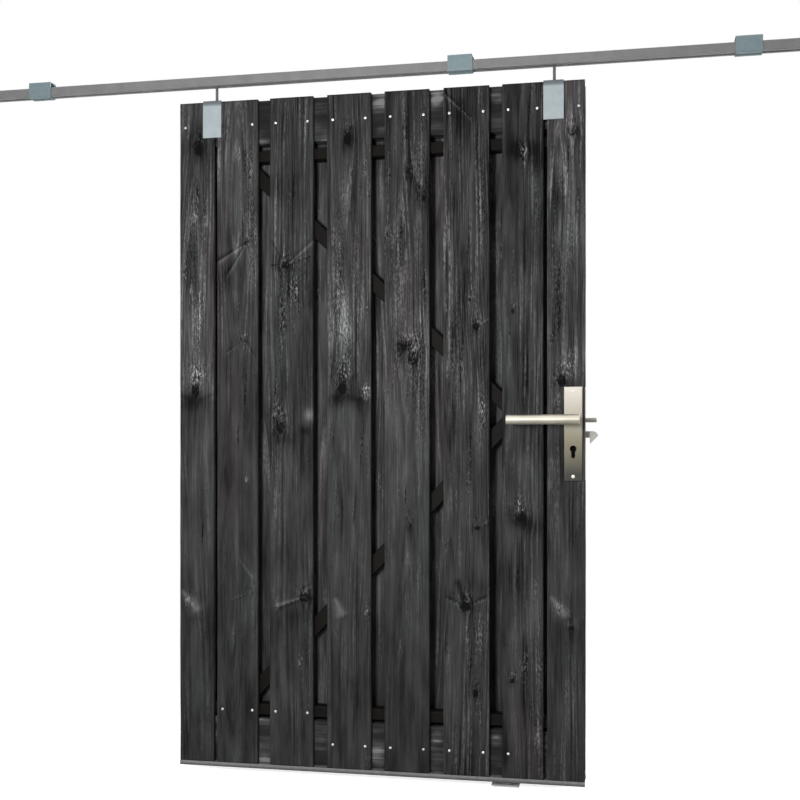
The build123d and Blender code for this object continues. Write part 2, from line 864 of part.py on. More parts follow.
def handle_plate():
    """A long plate on the leaf's front, with the lever's bearing and the bolts' holes."""
    with BuildPart() as plate:
        with BuildSketch(Plane.XZ.offset(leaf_back)):
            with Locations((along(spindle_along), up(plate_centre))):
                Rectangle(plate_width, plate_height)
        extrude(amount=plate_thickness)
        fillet(plate.faces().sort_by(Axis.Y)[0].edges(), plate_edge)
        with BuildSketch(Plane.XZ.offset(leaf_back)):
            with Locations((along(spindle_along), up(spindle_height))):
                Circle(lever_spigot / 2 + running_play)
        extrude(amount=plate_thickness, mode=Mode.SUBTRACT)
        with Locations(*[plane.rotated((180, 0, 0)) for plane in bolt_planes]):
            CounterSinkHole(machine_screw_shank / 2, machine_screw_head / 2, plate_thickness)
    return plate


# Handle plates: the front one with the cylinder's hole, the rear one blind
bolt_planes = [
    Plane(
        origin=(along(spindle_along), leaf_front - plate_thickness, up(height)),
        x_dir=(1, 0, 0),
        z_dir=(0, 1, 0),
    )
    for height in plate_bolt_heights()
]
blind_plate = handle_plate()
with BuildPart() as plate_front:
    add(blind_plate.part)
    with BuildSketch(Plane.XZ.offset(leaf_back)):
        cylinder_opening(0)
    extrude(amount=plate_thickness, mode=Mode.SUBTRACT)
save(plate_front, "plate_front")

with BuildPart() as plate_rear:
    add(mirror(blind_plate.part, about=Plane.XZ))
save(plate_rear, "plate_rear")

save(machine_screws(bolt_planes, leaf_thickness + 2 * plate_thickness), "plate_bolts")

# Levers: a round bar, slightly thinner towards its free end, with a neck and a spigot
# that turns in the plate
bar_plane_y = leaf_back + plate_thickness + lever_axis_distance
bar_right = spindle_along + lever_overhang
with BuildPart() as lever_front:
    with BuildSketch(Plane.YZ.offset(along(bar_right - lever_length))):
        with Locations((-bar_plane_y, up(spindle_height))):
            Circle(lever_end_diameter / 2)
    with BuildSketch(Plane.YZ.offset(along(bar_right))):
        with Locations((-bar_plane_y, up(spindle_height))):
            Circle(lever_diameter / 2)
    loft()
    fillet(lever_front.edges().filter_by(GeomType.CIRCLE), lever_end_round)
    with BuildSketch(Plane.XZ.offset(leaf_back + plate_thickness + lever_gap)):
        with Locations((along(spindle_along), up(spindle_height))):
            Circle(lever_neck / 2)
    extrude(amount=lever_axis_distance - lever_gap)
    with BuildSketch(Plane.XZ.offset(leaf_back)):
        with Locations((along(spindle_along), up(spindle_height))):
            Circle(lever_spigot / 2)
    extrude(amount=plate_thickness + lever_gap)
    with BuildSketch(Plane.XZ.offset(leaf_back)):
        with Locations((along(spindle_along), up(spindle_height))):
            Rectangle(spindle_side + spindle_play, spindle_side + spindle_play)
    extrude(amount=plate_thickness + socket_depth, mode=Mode.SUBTRACT)
save(lever_front, "lever_front")

with BuildPart() as lever_rear:
    add(mirror(lever_front.part, about=Plane.XZ))
save(lever_rear, "lever_rear")
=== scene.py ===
# %% [markdown]
# A sliding barn door leaf of black stained boards, hung from a galvanised rail.
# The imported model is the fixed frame: every metal piece is already there at its true size
# and place. What it can't hold is wood. A sawn board is never a flat colour, so this
# lesson spends most of its cells on boards with growth rings, knots and worn grain, and
# then gives each metal the finish that its making leaves on it.

# %% Load the frame
import math

import bpy
import numpy as np
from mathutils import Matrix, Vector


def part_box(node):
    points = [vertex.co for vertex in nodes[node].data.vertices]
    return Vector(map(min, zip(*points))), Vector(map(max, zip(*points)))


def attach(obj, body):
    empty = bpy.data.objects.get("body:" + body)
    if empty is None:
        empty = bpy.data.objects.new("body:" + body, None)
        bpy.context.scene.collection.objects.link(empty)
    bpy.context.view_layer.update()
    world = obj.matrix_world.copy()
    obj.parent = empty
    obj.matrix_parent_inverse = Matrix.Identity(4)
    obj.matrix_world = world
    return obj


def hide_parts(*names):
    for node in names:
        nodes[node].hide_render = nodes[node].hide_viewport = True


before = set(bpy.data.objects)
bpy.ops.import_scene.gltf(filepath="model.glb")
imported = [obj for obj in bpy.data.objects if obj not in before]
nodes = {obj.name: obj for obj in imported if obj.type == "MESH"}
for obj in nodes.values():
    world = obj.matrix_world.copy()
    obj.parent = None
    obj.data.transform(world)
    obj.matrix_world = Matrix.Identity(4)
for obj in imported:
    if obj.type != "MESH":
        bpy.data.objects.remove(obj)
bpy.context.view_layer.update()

# %% [markdown]
# Sizes that several cells share, in metres. The leaf and the floor are read from
# the frame, so the scene follows the model when a size in it changes.

# %% Places read from the frame
MM = 0.001
# radius of the heads of the handle plate's bolts, in mm
BOLT_HEAD = 4.5


def low_high(*names):
    """Lowest and highest corner of several nodes together, the least and the most of each coordinate."""
    lows, highs = zip(*(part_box(name) for name in names))
    return np.min(lows, axis=0), np.max(highs, axis=0)


leaf_low, leaf_high = low_high("front_board_1", "front_board_8", "bottom_channel", "back_board_1")
floor_height = low_high("floor_guide_plate")[0][2]
leaf_width, leaf_depth, leaf_height = leaf_high - leaf_low
print("leaf", leaf_width, leaf_depth, leaf_height)


def plate_bolts():
    """The handle plate's middle line and the heights of its two bolts, in mm: the bolts' box
    less the radius of a head at both ends."""
    plate_low, plate_high = low_high("plate_front")
    bolt_low, bolt_high = low_high("plate_bolts")
    middle = (plate_low[0] + plate_high[0]) / 2 / MM
    return middle, (bolt_low[2] / MM + BOLT_HEAD, bolt_high[2] / MM - BOLT_HEAD)


print("plate bolts", plate_bolts())

# %% [markdown]
# The camera stands right of the leaf, at the height of the lock, and looks past it to the
# left with a level axis. A level axis keeps the boards upright in the picture, as in a
# product photograph, and a vertical shift of the lens brings the leaf into the frame.

# %% Camera
TURN = math.radians(11.04)
CAMERA_RIGHT_OF_LEAF = 0.0886
CAMERA_BEFORE_LEAF = 2.9277
CAMERA_ABOVE_LEAF_FOOT = 0.87065
FOCAL = 1129.4 / 800 * 36
HORIZON_BELOW_MIDDLE = 47 / 800

lens = bpy.data.cameras.new("camera")
lens.lens = FOCAL
lens.sensor_width = 36
lens.shift_y = HORIZON_BELOW_MIDDLE
lens.clip_end = 100
camera = bpy.data.objects.new("camera", lens)
camera.location = (
    leaf_high[0] + CAMERA_RIGHT_OF_LEAF,
    leaf_low[1] - CAMERA_BEFORE_LEAF,
    leaf_low[2] + CAMERA_ABOVE_LEAF_FOOT,
)
camera.rotation_euler = (math.pi / 2, 0, TURN)
bpy.context.collection.objects.link(camera)
bpy.context.scene.camera = camera
print("camera at", tuple(round(c, 3) for c in camera.location))

# %% [markdown]
# A few small helpers carry all the materials. Colours are written as hex values, as a paint
# chart gives them, and turned to the linear values that a shader adds up. A node is added
# with its settings and its links in one call, so that a material reads from top to bottom.

# %% Colour and node helpers
def linear(hex_colour):
    """sRGB hex to linear: a value up to 0.04045 is divided by 12.92, any other becomes
    (v + 0.055) / 1.055 to the power 2.4."""
    parts = [int(hex_colour[i:i + 2], 16) / 255 for i in (1, 3, 5)]
    return [p / 12.92 if p <= 0.04045 else ((p + 0.055) / 1.055) ** 2.4 for p in parts] + [1.0]


def add_node(tree, kind, settings=None, **inputs):
    """Add a node. Settings are its attributes. Inputs are its sockets, by name or as i and a
    number, each with a value, a socket to link from, or a node whose first output is linked."""
    node = tree.nodes.new(kind)
    for name, value in (settings or {}).items():
        setattr(node, name, value)
    for name, value in inputs.items():
        key = int(name[1:]) if name[0] == "i" and name[1:].isdigit() else name.replace("_", " ")
        source = value.outputs[0] if isinstance(value, bpy.types.Node) else value
        if isinstance(source, bpy.types.NodeSocket):
            tree.links.new(source, node.inputs[key])
        else:
            node.inputs[key].default_value = source
    return node


def set_ramp(ramp_node, *stops):
    """Give a colour ramp its stops, each a position and a hex colour."""
    ramp = ramp_node.color_ramp
    while len(ramp.elements) < len(stops):
        ramp.elements.new(1.0)
    for element, (position, colour) in zip(ramp.elements, stops):
        element.position = position
        element.color = linear(colour)
    return ramp_node


def pattern(tree, place, scale, detail, roughness=0.6, dimensions="3D"):
    """A cloudy pattern that has this many features in each metre along X, Y and Z."""
    return add_node(
        tree, "ShaderNodeTexNoise", {"noise_dimensions": dimensions},
        Vector=add_node(tree, "ShaderNodeMapping", Vector=place, Scale=scale),
        Scale=1.0, Detail=detail, Roughness=roughness,
    )


def new_material(name):
    """A new material, its emptied node tree, and the Object coordinates of its points."""
    material = bpy.data.materials.new(name)
    material.use_nodes = True
    tree = material.node_tree
    tree.nodes.clear()
    return material, tree, add_node(tree, "ShaderNodeTexCoord").outputs["Object"]


# settings of Math and Mix nodes: first times second plus third, and one colour on another
TIMES_PLUS = {"operation": "MULTIPLY_ADD"}
TINT = {"data_type": "RGBA", "blend_type": "MULTIPLY"}
print("a mid grey is", linear("#808080")[0], "in light")

# %% [markdown]
# A board is sawn from a log, and its figure is where the growth rings meet its faces. The
# rings are cones round the pith, so a ring number can be worked out for each point: the
# distance from the pith line, which wanders along the board. Where the pith runs close
# under the face the figure is a row of flames, and far from it the lines are straight.
# A knot is a branch that pushes the rings aside. Here the points near a knot are drawn
# towards its middle before the ring distance is taken, which bends the lines round it.
# An image could hold all this, but a formula gives each board its own figure at any size.

# %% Growth rings as a field
# how far a knot draws the rings in, as multiples of its half width and half height
PULL_ACROSS, PULL_ALONG = 1.9, 2.6
WAVE_LENGTHS = (420, 170, 75)


def ring_field(across, depth, height, board, knots):
    """Distance in mm from the pith line, a sum of waves along the board, after the points
    near each knot are drawn to its middle by exp(-q), q the squared elliptic distance."""
    chance = np.random.default_rng(100 + board)
    x = across.copy()
    for knot_x, knot_z, wide, tall in knots:
        aside = (across - knot_x) / (PULL_ACROSS * wide)
        above = (height - knot_z) / (PULL_ALONG * tall)
        x += (knot_x - across) * 0.95 * np.exp(-(aside ** 2 + above ** 2))
    waves = [
        chance.uniform(0.4, 1.0) * np.sin(height / length + chance.uniform(0, 2 * np.pi))
        for length in WAVE_LENGTHS
    ]
    # the pith's place from the board's left edge and behind its face, with its wander, in mm
    pith_side = chance.uniform(-25, 60) + 16 * waves[0] + 4 * waves[1] + 1.2 * waves[2]
    pith_depth = chance.uniform(14, 46) + 11 * waves[1] + 6 * waves[0]
    return np.hypot(x - pith_side, depth + pith_depth)


def spot(across, height, x, z, wide, tall):
    """A soft ellipse: exp(-q) of the squared elliptic distance from its middle."""
    return np.exp(-(((across - x) / wide) ** 2) - ((height - z) / tall) ** 2)


def streak(across, height, x0, z0, x1, z1, wide):
    """A soft wedge from one point to another: exp(-(s / w) squared) of the distance s from
    the line, with a width w that grows along it, and the signed distance itself."""
    run_x, run_z = x1 - x0, z1 - z0
    length = np.hypot(run_x, run_z)
    t = ((across - x0) * run_x + (height - z0) * run_z) / length ** 2
    side = ((height - z0) * run_x - (across - x0) * run_z) / length * np.sign(run_x or 1)
    width = wide * (0.35 + 0.65 * np.clip(t, 0, 1))
    # it fades in at its first point and runs out a little past the other
    ends = np.clip(t * 8 + 0.6, 0, 1) * np.clip((1.12 - t) * 6, 0, 1)
    return ends * np.exp(-((side / width) ** 2)), side / width


sample = ring_field(np.array([20.0, 60.0]), np.zeros(2), np.array([900.0, 900.0]), 1, [])
print("rings 20 and 60 mm across the first board are", sample, "mm from the pith")

# %% [markdown]
# What the eye remembers of a board is its knots and the marks round them: a dark eye, a
# pale worn patch above it, a branch cut lengthwise that runs to the board's edge like a
# wing. They are listed board by board, in millimetres from the board's left edge and from
# the leaf's foot, so that the leaf has this door's own marks and not random ones. Strengths
# are shares of a full mark, and the shader turns them to grey.

# %% Marks of the front boards
# knots: across, height, half width, half height, darkness
KNOTS = {
    1: [(54, 1684, 9, 15, 0.9), (46, 1026, 9, 17, 1.0), (60, 404, 4, 5, 0.5), (62, 1284, 4, 5, 0.4)],
    2: [(84, 1424, 7, 8, 0.7), (79, 1160, 7, 7, 0.6), (86, 772, 5, 8, 0.5), (98, 478, 9, 7, 0.5)],
    3: [(45, 1360, 11, 9, 0.9), (31, 924, 11, 16, 0.9), (98, 466, 14, 10, 1.0), (40, 1190, 5, 6, 0.5)],
    4: [(57, 1692, 9, 16, 0.9), (43, 1030, 10, 16, 1.0), (110, 430, 8, 12, 0.5), (62, 1492, 5, 5, 0.5)],
    5: [(67, 1598, 8, 13, 0.6), (105, 1524, 12, 13, 0.5), (58, 1137, 13, 10, 1.0), (77, 1106, 13, 15, 1.0),
        (71, 661, 6, 11, 0.6)],
    6: [(69, 1254, 6, 7, 0.6), (87, 1184, 9, 9, 0.8), (91, 660, 8, 8, 0.7), (60, 453, 14, 11, 1.0),
        (85, 229, 7, 10, 0.8), (24, 1560, 5, 6, 0.3)],
    7: [(56, 1634, 8, 10, 0.5), (27, 1224, 6, 8, 0.7), (49, 690, 12, 13, 0.9), (27, 264, 6, 7, 0.9)],
    8: [(64, 1680, 10, 12, 0.9), (38, 1041, 11, 14, 0.9), (62, 406, 8, 8, 0.6), (58, 1330, 4, 6, 0.4)],
}
# dark clouds: across, height, half width, half height, strength
CLOUDS = {
    1: [(40, 1705, 26, 34, 0.9), (46, 990, 50, 20, 0.9), (86, 1700, 18, 60, 0.4)],
    2: [(50, 1440, 46, 34, 0.6), (20, 1325, 14, 40, 0.6), (64, 1352, 12, 26, 0.4),
        (86, 736, 20, 34, 0.35), (60, 260, 60, 150, 0.2)],
    3: [(98, 1300, 30, 70, 0.6), (20, 1378, 22, 26, 0.5), (70, 1600, 40, 110, 0.35),
        (50, 1000, 22, 90, 0.45), (96, 914, 16, 11, 0.9), (40, 892, 30, 20, 0.5),
        (70, 880, 60, 34, 0.3), (70, 418, 50, 26, 0.3)],
    4: [(66, 1696, 26, 34, 0.9), (30, 994, 44, 18, 0.9), (100, 980, 22, 30, 0.35), (60, 250, 60, 120, 0.15)],
    5: [(96, 1532, 26, 34, 0.7), (68, 1118, 26, 30, 0.4), (66, 1260, 22, 60, 0.35)],
    6: [(40, 1740, 40, 44, 0.8), (100, 500, 24, 34, 0.5), (22, 480, 26, 18, 0.4), (86, 236, 14, 26, 0.5)],
    7: [(42, 1640, 28, 20, 1.3), (80, 1642, 20, 20, 1.2), (92, 1606, 16, 28, 1.2), (30, 1660, 24, 34, 0.6),
        (52, 676, 34, 16, 0.9), (80, 660, 20, 22, 0.8), (22, 700, 12, 16, 0.7), (60, 1420, 10, 120, 0.5),
        (62, 1050, 14, 90, 0.6)],
    8: [(44, 1040, 30, 22, 0.6), (64, 1680, 20, 22, 0.5), (70, 390, 28, 24, 0.4), (40, 760, 50, 90, 0.3)],
}
# pale worn patches: across, height, half width, half height, strength; the grain is torn open
# in them, but one of SMOOTH_GLOW or more is bare smooth wood
SMOOTH_GLOW = 2
GLOWS = {
    1: [(50, 1072, 26, 34, 0.9), (26, 452, 12, 20, 1.0), (38, 1480, 22, 120, 0.4), (50, 1240, 16, 90, 0.5)],
    2: [(96, 1500, 12, 120, 0.45), (100, 1350, 14, 60, 0.35), (84, 786, 3, 9, 0.9), (92, 1640, 6, 60, 0.4)],
    3: [(109, 956, 15, 18, 2.6), (84, 294, 7, 14, 1.2), (34, 1240, 12, 110, 0.6), (74, 1300, 16, 60, 0.45),
        (96, 1740, 8, 60, 0.35), (30, 965, 10, 22, 0.5), (22, 445, 10, 20, 0.5)],
    4: [(54, 1080, 14, 30, 0.8), (108, 1018, 12, 18, 1.8), (32, 1290, 16, 190, 0.6), (110, 428, 9, 24, 0.6),
        (56, 1160, 14, 80, 0.5), (80, 1350, 14, 120, 0.35)],
    5: [(96, 1640, 16, 90, 0.5), (40, 1300, 26, 160, 0.4), (44, 340, 7, 22, 0.6), (94, 1060, 20, 140, 0.45),
        (70, 1085, 10, 34, 0.4)],
    6: [(100, 1500, 10, 120, 0.6), (106, 968, 10, 46, 0.8), (30, 1120, 18, 160, 0.35),
        (96, 380, 14, 60, 0.6), (64, 380, 5, 60, 0.6), (100, 1000, 10, 150, 0.3)],
    7: [(56, 1634, 9, 15, 1.5), (90, 1500, 12, 90, 0.4), (46, 724, 8, 26, 0.8), (58, 300, 8, 26, 0.5),
        (92, 120, 10, 50, 0.6), (96, 300, 10, 160, 0.3)],
    8: [(58, 1086, 18, 36, 0.8), (30, 1300, 18, 110, 0.5), (62, 1420, 12, 90, 0.4), (30, 455, 14, 18, 0.6),
        (40, 1560, 20, 60, 0.35)],
}
# wings, branches cut lengthwise: from, to, width, shade above the line, shade below it
WINGS = {
    1: [(4, 476, 46, 420, 20, 1.1, 0.5),
        (0, 1016, 40, 1004, 15, -0.2, -0.5), (96, 1018, 54, 1004, 15, -0.1, -0.4)],
    2: [(84, 1424, 2, 1376, 9, -1.0, 0.9), (84, 1424, 30, 1340, 8, -0.7, 0.7),
        (79, 1160, 28, 1128, 4, -0.6, 0.6), (79, 1160, 108, 1114, 4, -0.7, 0.4),
        (62, 566, 98, 516, 6, 0.8, 0.1), (98, 478, 44, 455, 4, 0.6, -0.4)],
    3: [(45, 1360, 8, 1428, 6, 0.3, -1.0), (45, 1360, 120, 1424, 8, -0.4, 0.8),
        (45, 1360, 2, 1364, 4, 0.3, -1.0), (45, 1360, 112, 1384, 4, 0.7, -1.0),
        (100, 468, 24, 440, 10, 1.1, -0.5)],
    4: [(20, 466, 40, 420, 18, 1.0, 0.6), (14, 1000, 40, 1010, 15, -0.2, -0.5),
        (116, 990, 50, 1012, 15, -0.2, -0.45)],
    5: [(106, 1520, 72, 1586, 13, -0.9, -0.9), (67, 1117, 40, 1146, 9, -0.7, -0.7)],
    6: [(80, 1720, 7, 1794, 4.5, -2.0, 1.6), (87, 1184, 119, 1200, 5, 0.8, -0.5),
        (91, 660, 119, 674, 5, 0.7, -0.6), (60, 453, 10, 474, 6, -0.9, 0.5),
        (60, 453, 112, 478, 7, -1.0, 0.6), (58, 452, 38, 520, 8, -1.1, -0.9)],
    7: [(58, 1530, 58, 1330, 2.4, -1.0, -1.0), (66, 1112, 64, 1030, 2.4, -0.9, -0.9),
        (56, 394, 57, 200, 2.0, -0.8, -0.8), (58, 960, 56, 860, 2.2, -0.7, -0.7)],
    8: [(8, 484, 44, 434, 18, 1.0, 0.4), (38, 1041, 64, 1018, 8, -0.8, -0.4)],
}
# cracks along the grain: across, height, length
CRACKS = {
    1: [(50, 1560, 90), (74, 1540, 70), (66, 640, 70)],
    2: [(81, 1020, 120), (80, 1650, 90), (60, 900, 60)],
    3: [(66, 1560, 60), (14, 1000, 240), (52, 1300, 50)],
    4: [(70, 1610, 70), (96, 880, 110), (76, 700, 90)],
    5: [(50, 1690, 120), (60, 1700, 90), (46, 1450, 60), (58, 740, 60)],
    6: [(73, 884, 100), (66, 1400, 90), (48, 1100, 120), (72, 300, 60), (88, 1660, 80)],
    7: [(70, 1740, 70), (40, 540, 60), (64, 330, 80)],
    8: [(54, 1620, 90), (76, 1500, 60), (30, 1200, 90), (60, 900, 60)],
}
tables = (KNOTS, CLOUDS, GLOWS, WINGS, CRACKS)
print("marks:", sum(len(rows) for table in tables for rows in table.values()))

# %% [markdown]
# The marks become four numbers at each point of the board: how dark and how pale it is, how
# deep in a knot's eye it lies, and how far its grain is torn open. They are stored on the
# mesh as attributes, so the shader only has to read them.

# %% Fields of the marks
# a wing's change from its upper to its lower shade is this steep in widths of the wing
WING_EDGE = 2.5


def mark_fields(across, height, board):
    """Sums of the board's spots and streaks, each a strength times a soft ellipse or wedge."""
    dark, pale, eye, torn = (np.zeros_like(across) for _ in range(4))
    for x, z, wide, tall, strength in CLOUDS.get(board, []):
        dark += strength * spot(across, height, x, z, wide, tall)
    for x, z, wide, tall, strength in GLOWS.get(board, []):
        glow = strength * spot(across, height, x, z, wide, tall)
        pale += glow
        torn += 0.9 * glow if strength < SMOOTH_GLOW else 0
    # a knot's eye, the shade round and below it, and the torn grain above it
    for x, z, wide, tall, strength in KNOTS.get(board, []):
        eye = np.maximum(eye, strength * spot(across, height, x, z, 1.3 * wide, 1.3 * tall))
        dark += 0.5 * strength * spot(across, height, x, z - 0.6 * tall, 2.2 * wide, 1.6 * tall)
        torn += 0.5 * strength * spot(across, height, x, z + 1.6 * tall, 2.0 * wide, 2.2 * tall)
    for x0, z0, x1, z1, wide, above, below in WINGS.get(board, []):
        body, side = streak(across, height, x0, z0, x1, z1, wide)
        upper = np.clip(0.5 + side * WING_EDGE, 0, 1)
        shade = body * (above * upper + below * (1 - upper))
        pale += 2.0 * np.maximum(shade, 0)
        dark += 1.4 * np.maximum(-shade, 0)
    for x, z, length in CRACKS.get(board, []):
        lean = x + 3 * np.sin((height - z) / 60)
        dark += 1.3 * spot(across, height, lean, z, 1.8, length / 2)
        torn += 0.4 * spot(across, height, lean, z, 4.0, length / 2)
    dark, pale, torn = np.clip(dark, 0, 1.3), np.clip(pale, 0, 3), np.clip(torn, 0, 1.2)
    return {"dark": dark, "pale": pale, "eye": eye, "torn": torn}


sample = mark_fields(np.array([46.0]), np.array([1026.0]), 1)
print("in the first board's second knot:", {name: round(float(v[0]), 2) for name, v in sample.items()})

# %% [markdown]
# The board itself is a closed strip of quads: an outline with eased corners, repeated up
# the length. A grid of a few millimetres is fine enough to carry the fields, and the
# edges get a little sawing waviness, always inwards so that the board keeps its size.
# Where the lock's parts pass through, cells are left out and walls close the hole.

# %% Board mesh
# a quad's size across and along, in mm, and how far the corners are eased
FRONT_CELL = (3.0, 5.0)
BACK_CELL = (5.0, 8.0)
EASE = 1.2


def wall(one, other):
    """Quads between two equal rows of vertices."""
    return np.stack([one[:-1], other[:-1], other[1:], one[1:]], -1)


def board_grid(width, thickness, length, windows, cell):
    """Vertices of the outline at each station along the length, and the quads between them.
    Windows are boxes in mm (left, right, foot, head), snapped to the cells: their quads are
    left out in front and behind, and walls join the two openings."""
    count = round(width / cell[0])
    rows = round(length / cell[1])
    front = np.linspace(EASE, width - EASE, count + 1)
    flat = np.zeros(count + 1)
    outline_x = np.concatenate([front, [width, width], front[::-1], [0, 0]])
    eased = np.array([EASE, thickness - EASE])
    outline_y = np.concatenate([flat, eased, flat + thickness, eased[::-1]])
    ring = len(outline_x)
    station = np.linspace(0, length, rows + 1)
    points = np.stack(np.broadcast_arrays(outline_x, outline_y, station[:, None]), axis=-1)
    index = np.arange((rows + 1) * ring).reshape(rows + 1, ring)
    turned = np.roll(index, -1, axis=1)
    quads = np.stack([index[:-1], turned[:-1], turned[1:], index[1:]], axis=-1)
    keep = np.ones((rows, ring), bool)
    # vertices of the front face and of the back face, both from left to right
    near = index[:, :count + 1]
    far = index[:, count + 3:2 * count + 4][:, ::-1]
    walls = []
    for x0, x1, z0, z1 in windows:
        i0, i1 = (np.abs(front - x).argmin() for x in (x0, x1))
        j0, j1 = (np.abs(station - z).argmin() for z in (z0, z1))
        keep[j0:j1, i0:i1] = False
        keep[j0:j1, 2 * count + 3 - i1:2 * count + 3 - i0] = False
        walls.append(wall(near[j0:j1 + 1, i0], far[j0:j1 + 1, i0]))
        walls.append(wall(far[j0:j1 + 1, i1], near[j0:j1 + 1, i1]))
        walls.append(wall(far[j0, i0:i1 + 1], near[j0, i0:i1 + 1]))
        walls.append(wall(near[j1, i0:i1 + 1], far[j1, i0:i1 + 1]))
    low_cap = np.concatenate([
        wall(near[0], far[0]),
        [[near[0, -1], far[0, -1], index[0, count + 2], index[0, count + 1]]],
        [[index[0, -1], index[0, -2], far[0, 0], near[0, 0]]],
    ])
    high_cap = (low_cap + rows * ring)[:, ::-1]
    return points, np.concatenate([quads[keep], *walls, low_cap, high_cap])


def quad_mesh(name, points, quads):
    """A mesh of quads from arrays, points in metres."""
    mesh = bpy.data.meshes.new(name)
    mesh.vertices.add(len(points))
    mesh.vertices.foreach_set("co", points.astype(np.float32).ravel())
    mesh.loops.add(quads.size)
    mesh.loops.foreach_set("vertex_index", quads.astype(np.int32).ravel())
    mesh.polygons.add(len(quads))
    mesh.polygons.foreach_set("loop_start", np.arange(0, quads.size, 4, dtype=np.int32))
    mesh.update(calc_edges=True)
    mesh.validate()
    return mesh


def set_attribute(mesh, name, values):
    """One number for each vertex, under a name that a shader can read."""
    mesh.attributes.new(name, "FLOAT", "POINT").data.foreach_set("value", values.astype(np.float32))


print("a board of 100 mm has", len(board_grid(100, 18, 1800, [], FRONT_CELL)[1]), "quads")

# %% [markdown]
# Each board takes the place of its plain solid and rides on the leaf with it. A map of two
# numbers goes with it, the ring distance and the height. The shader draws the ring lines on
# that map, so they run along the board and bend where the rings bend. Each board also gets
# a grey level and a level of its pale lines at four stations up the leaf. The greys are partly
# each board's own tone and partly painted light, mostly lighter towards the head as under a
# lamp above, and the pale lines show more in the upper half, where this door is worn.

# %% Lay the boards
STATIONS = [350, 880, 1120, 1450]
# pale lines this many levels above the ground count as fully worn
WEAR_SPAN = 40
# each board's stretch of the grain map, so that no two boards share a pattern
MAP_STRETCH = 2600
# sawing waviness of the edges: lengths of its waves, depth, and how far in from the edge, in mm
EDGE_WAVES = (23, 61, 140)
EDGE_DEPTH, EDGE_REACH = 0.35, 1.6


def lay_board(node, board, levels, lines, windows=(), facing=1):
    """A grained board in the place of a plain one. Levels are its greys and lines the greys of
    its palest lines at the stations, run straight between them. Facing 1 shows the board's
    front and -1 its back. Its edges move inwards by a sum of waves times exp(-d / reach), with
    d the distance from the edge."""
    low, high = (np.array(corner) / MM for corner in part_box(node))
    width, thickness, length = high - low
    foot = low[2] - leaf_low[2] / MM
    shifted = [(x0 - low[0], x1 - low[0], z0 - low[2], z1 - low[2]) for x0, x1, z0, z1 in windows]
    cell = FRONT_CELL if facing > 0 else BACK_CELL
    points, quads = board_grid(width, thickness, length, shifted, cell)
    across, depth, along = points[..., 0], points[..., 1], points[..., 2]
    height = along + foot
    show_depth = depth if facing > 0 else thickness - depth
    knots = [knot[:4] for knot in KNOTS.get(board, [])]
    rings = ring_field(across, show_depth, height, board, knots)
    edge = np.exp(-np.minimum(across, width - across) / EDGE_REACH)
    chance = np.random.default_rng(board)
    wave = sum(np.sin(along / length_mm + chance.uniform(0, 6.3)) for length_mm in EDGE_WAVES) / 3
    inwards = np.where(across < width / 2, 1, -1)
    moved = points.copy()
    moved[..., 0] += inwards * edge * EDGE_DEPTH * (1 + wave)
    moved += low
    mesh = quad_mesh(node + "_grained", moved.reshape(-1, 3) * MM, quads)
    flat_map = np.stack([rings.ravel(), height.ravel() + MAP_STRETCH * board], -1) * MM
    layer = mesh.uv_layers.new(name="grain")
    vertex_of_loop = np.empty(len(mesh.loops), np.int32)
    mesh.loops.foreach_get("vertex_index", vertex_of_loop)
    layer.data.foreach_set("uv", flat_map[vertex_of_loop].astype(np.float32).ravel())
    # the ground's grey by height: partly the board's own tone and partly painted light
    tone = np.interp(height, STATIONS, np.array(levels) / 255)
    wear = np.interp(height, STATIONS, (np.array(lines) - levels) / WEAR_SPAN)
    fields = {"edge": edge, "tone": tone, "wear": wear, **mark_fields(across, height, board)}
    for name, values in fields.items():
        set_attribute(mesh, name, values.ravel())
    piece = bpy.data.objects.new(node + "_grained", mesh)
    bpy.context.collection.objects.link(piece)
    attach(piece, "door")
    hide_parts(node)
    return piece


def lock_windows():
    """Openings in the boards at the lock, in mm: one for the spindle, one for the cylinder
    63 to 101 mm below it, and one for each plate bolt."""
    middle, bolt_heights = plate_bolts()
    spindle_low, spindle_high = low_high("spindle")
    hub = (spindle_low[2] + spindle_high[2]) / 2 / MM
    spindle_box = (middle - 10, middle + 10, hub - 10, hub + 10)
    cylinder_box = (middle - 11, middle + 11, hub - 101, hub - 63)
    bolt_boxes = [(middle - 5, middle + 5, height - 5, height + 5) for height in bolt_heights]
    return [spindle_box, cylinder_box, *bolt_boxes]


# grey levels out of 255 at the four stations: of the ground, and of the palest lines
# painted light: here and in BACK_LEVELS the ground's greys rise up the leaf partly as painted light, lighter
# at the head as under a lamp above; the rest is each board's own tone
FRONT_LEVELS = [
    ([46, 60, 64, 65], [57, 75, 97, 93]), ([54, 52, 57, 67], [65, 61, 74, 97]),
    ([51, 51, 56, 60], [64, 64, 75, 88]), ([52, 57, 60, 62], [63, 72, 90, 90]),
    ([52, 66, 62, 52], [60, 86, 89, 79]), ([54, 52, 54, 55], [76, 73, 87, 91]),
    ([53, 55, 57, 57], [69, 78, 81, 79]), ([51, 60, 70, 75], [68, 80, 107, 113]),
]
BACK_LEVELS = ([58, 66, 68, 70], [76, 88, 94, 96])
BACK_BOARDS = 7
boards = []
for number, (levels, lines) in enumerate(FRONT_LEVELS, start=1):
    windows = lock_windows() if number == len(FRONT_LEVELS) else ()
    boards.append(lay_board(f"front_board_{number}", number, levels, lines, windows))
for number in range(1, BACK_BOARDS + 1):
    windows = lock_windows() if number == BACK_BOARDS else ()
    boards.append(lay_board(f"back_board_{number}", 20 + number, *BACK_LEVELS, windows, facing=-1))
print(len(boards), "boards,", sum(len(b.data.polygons) for b in boards) * 2, "triangles")

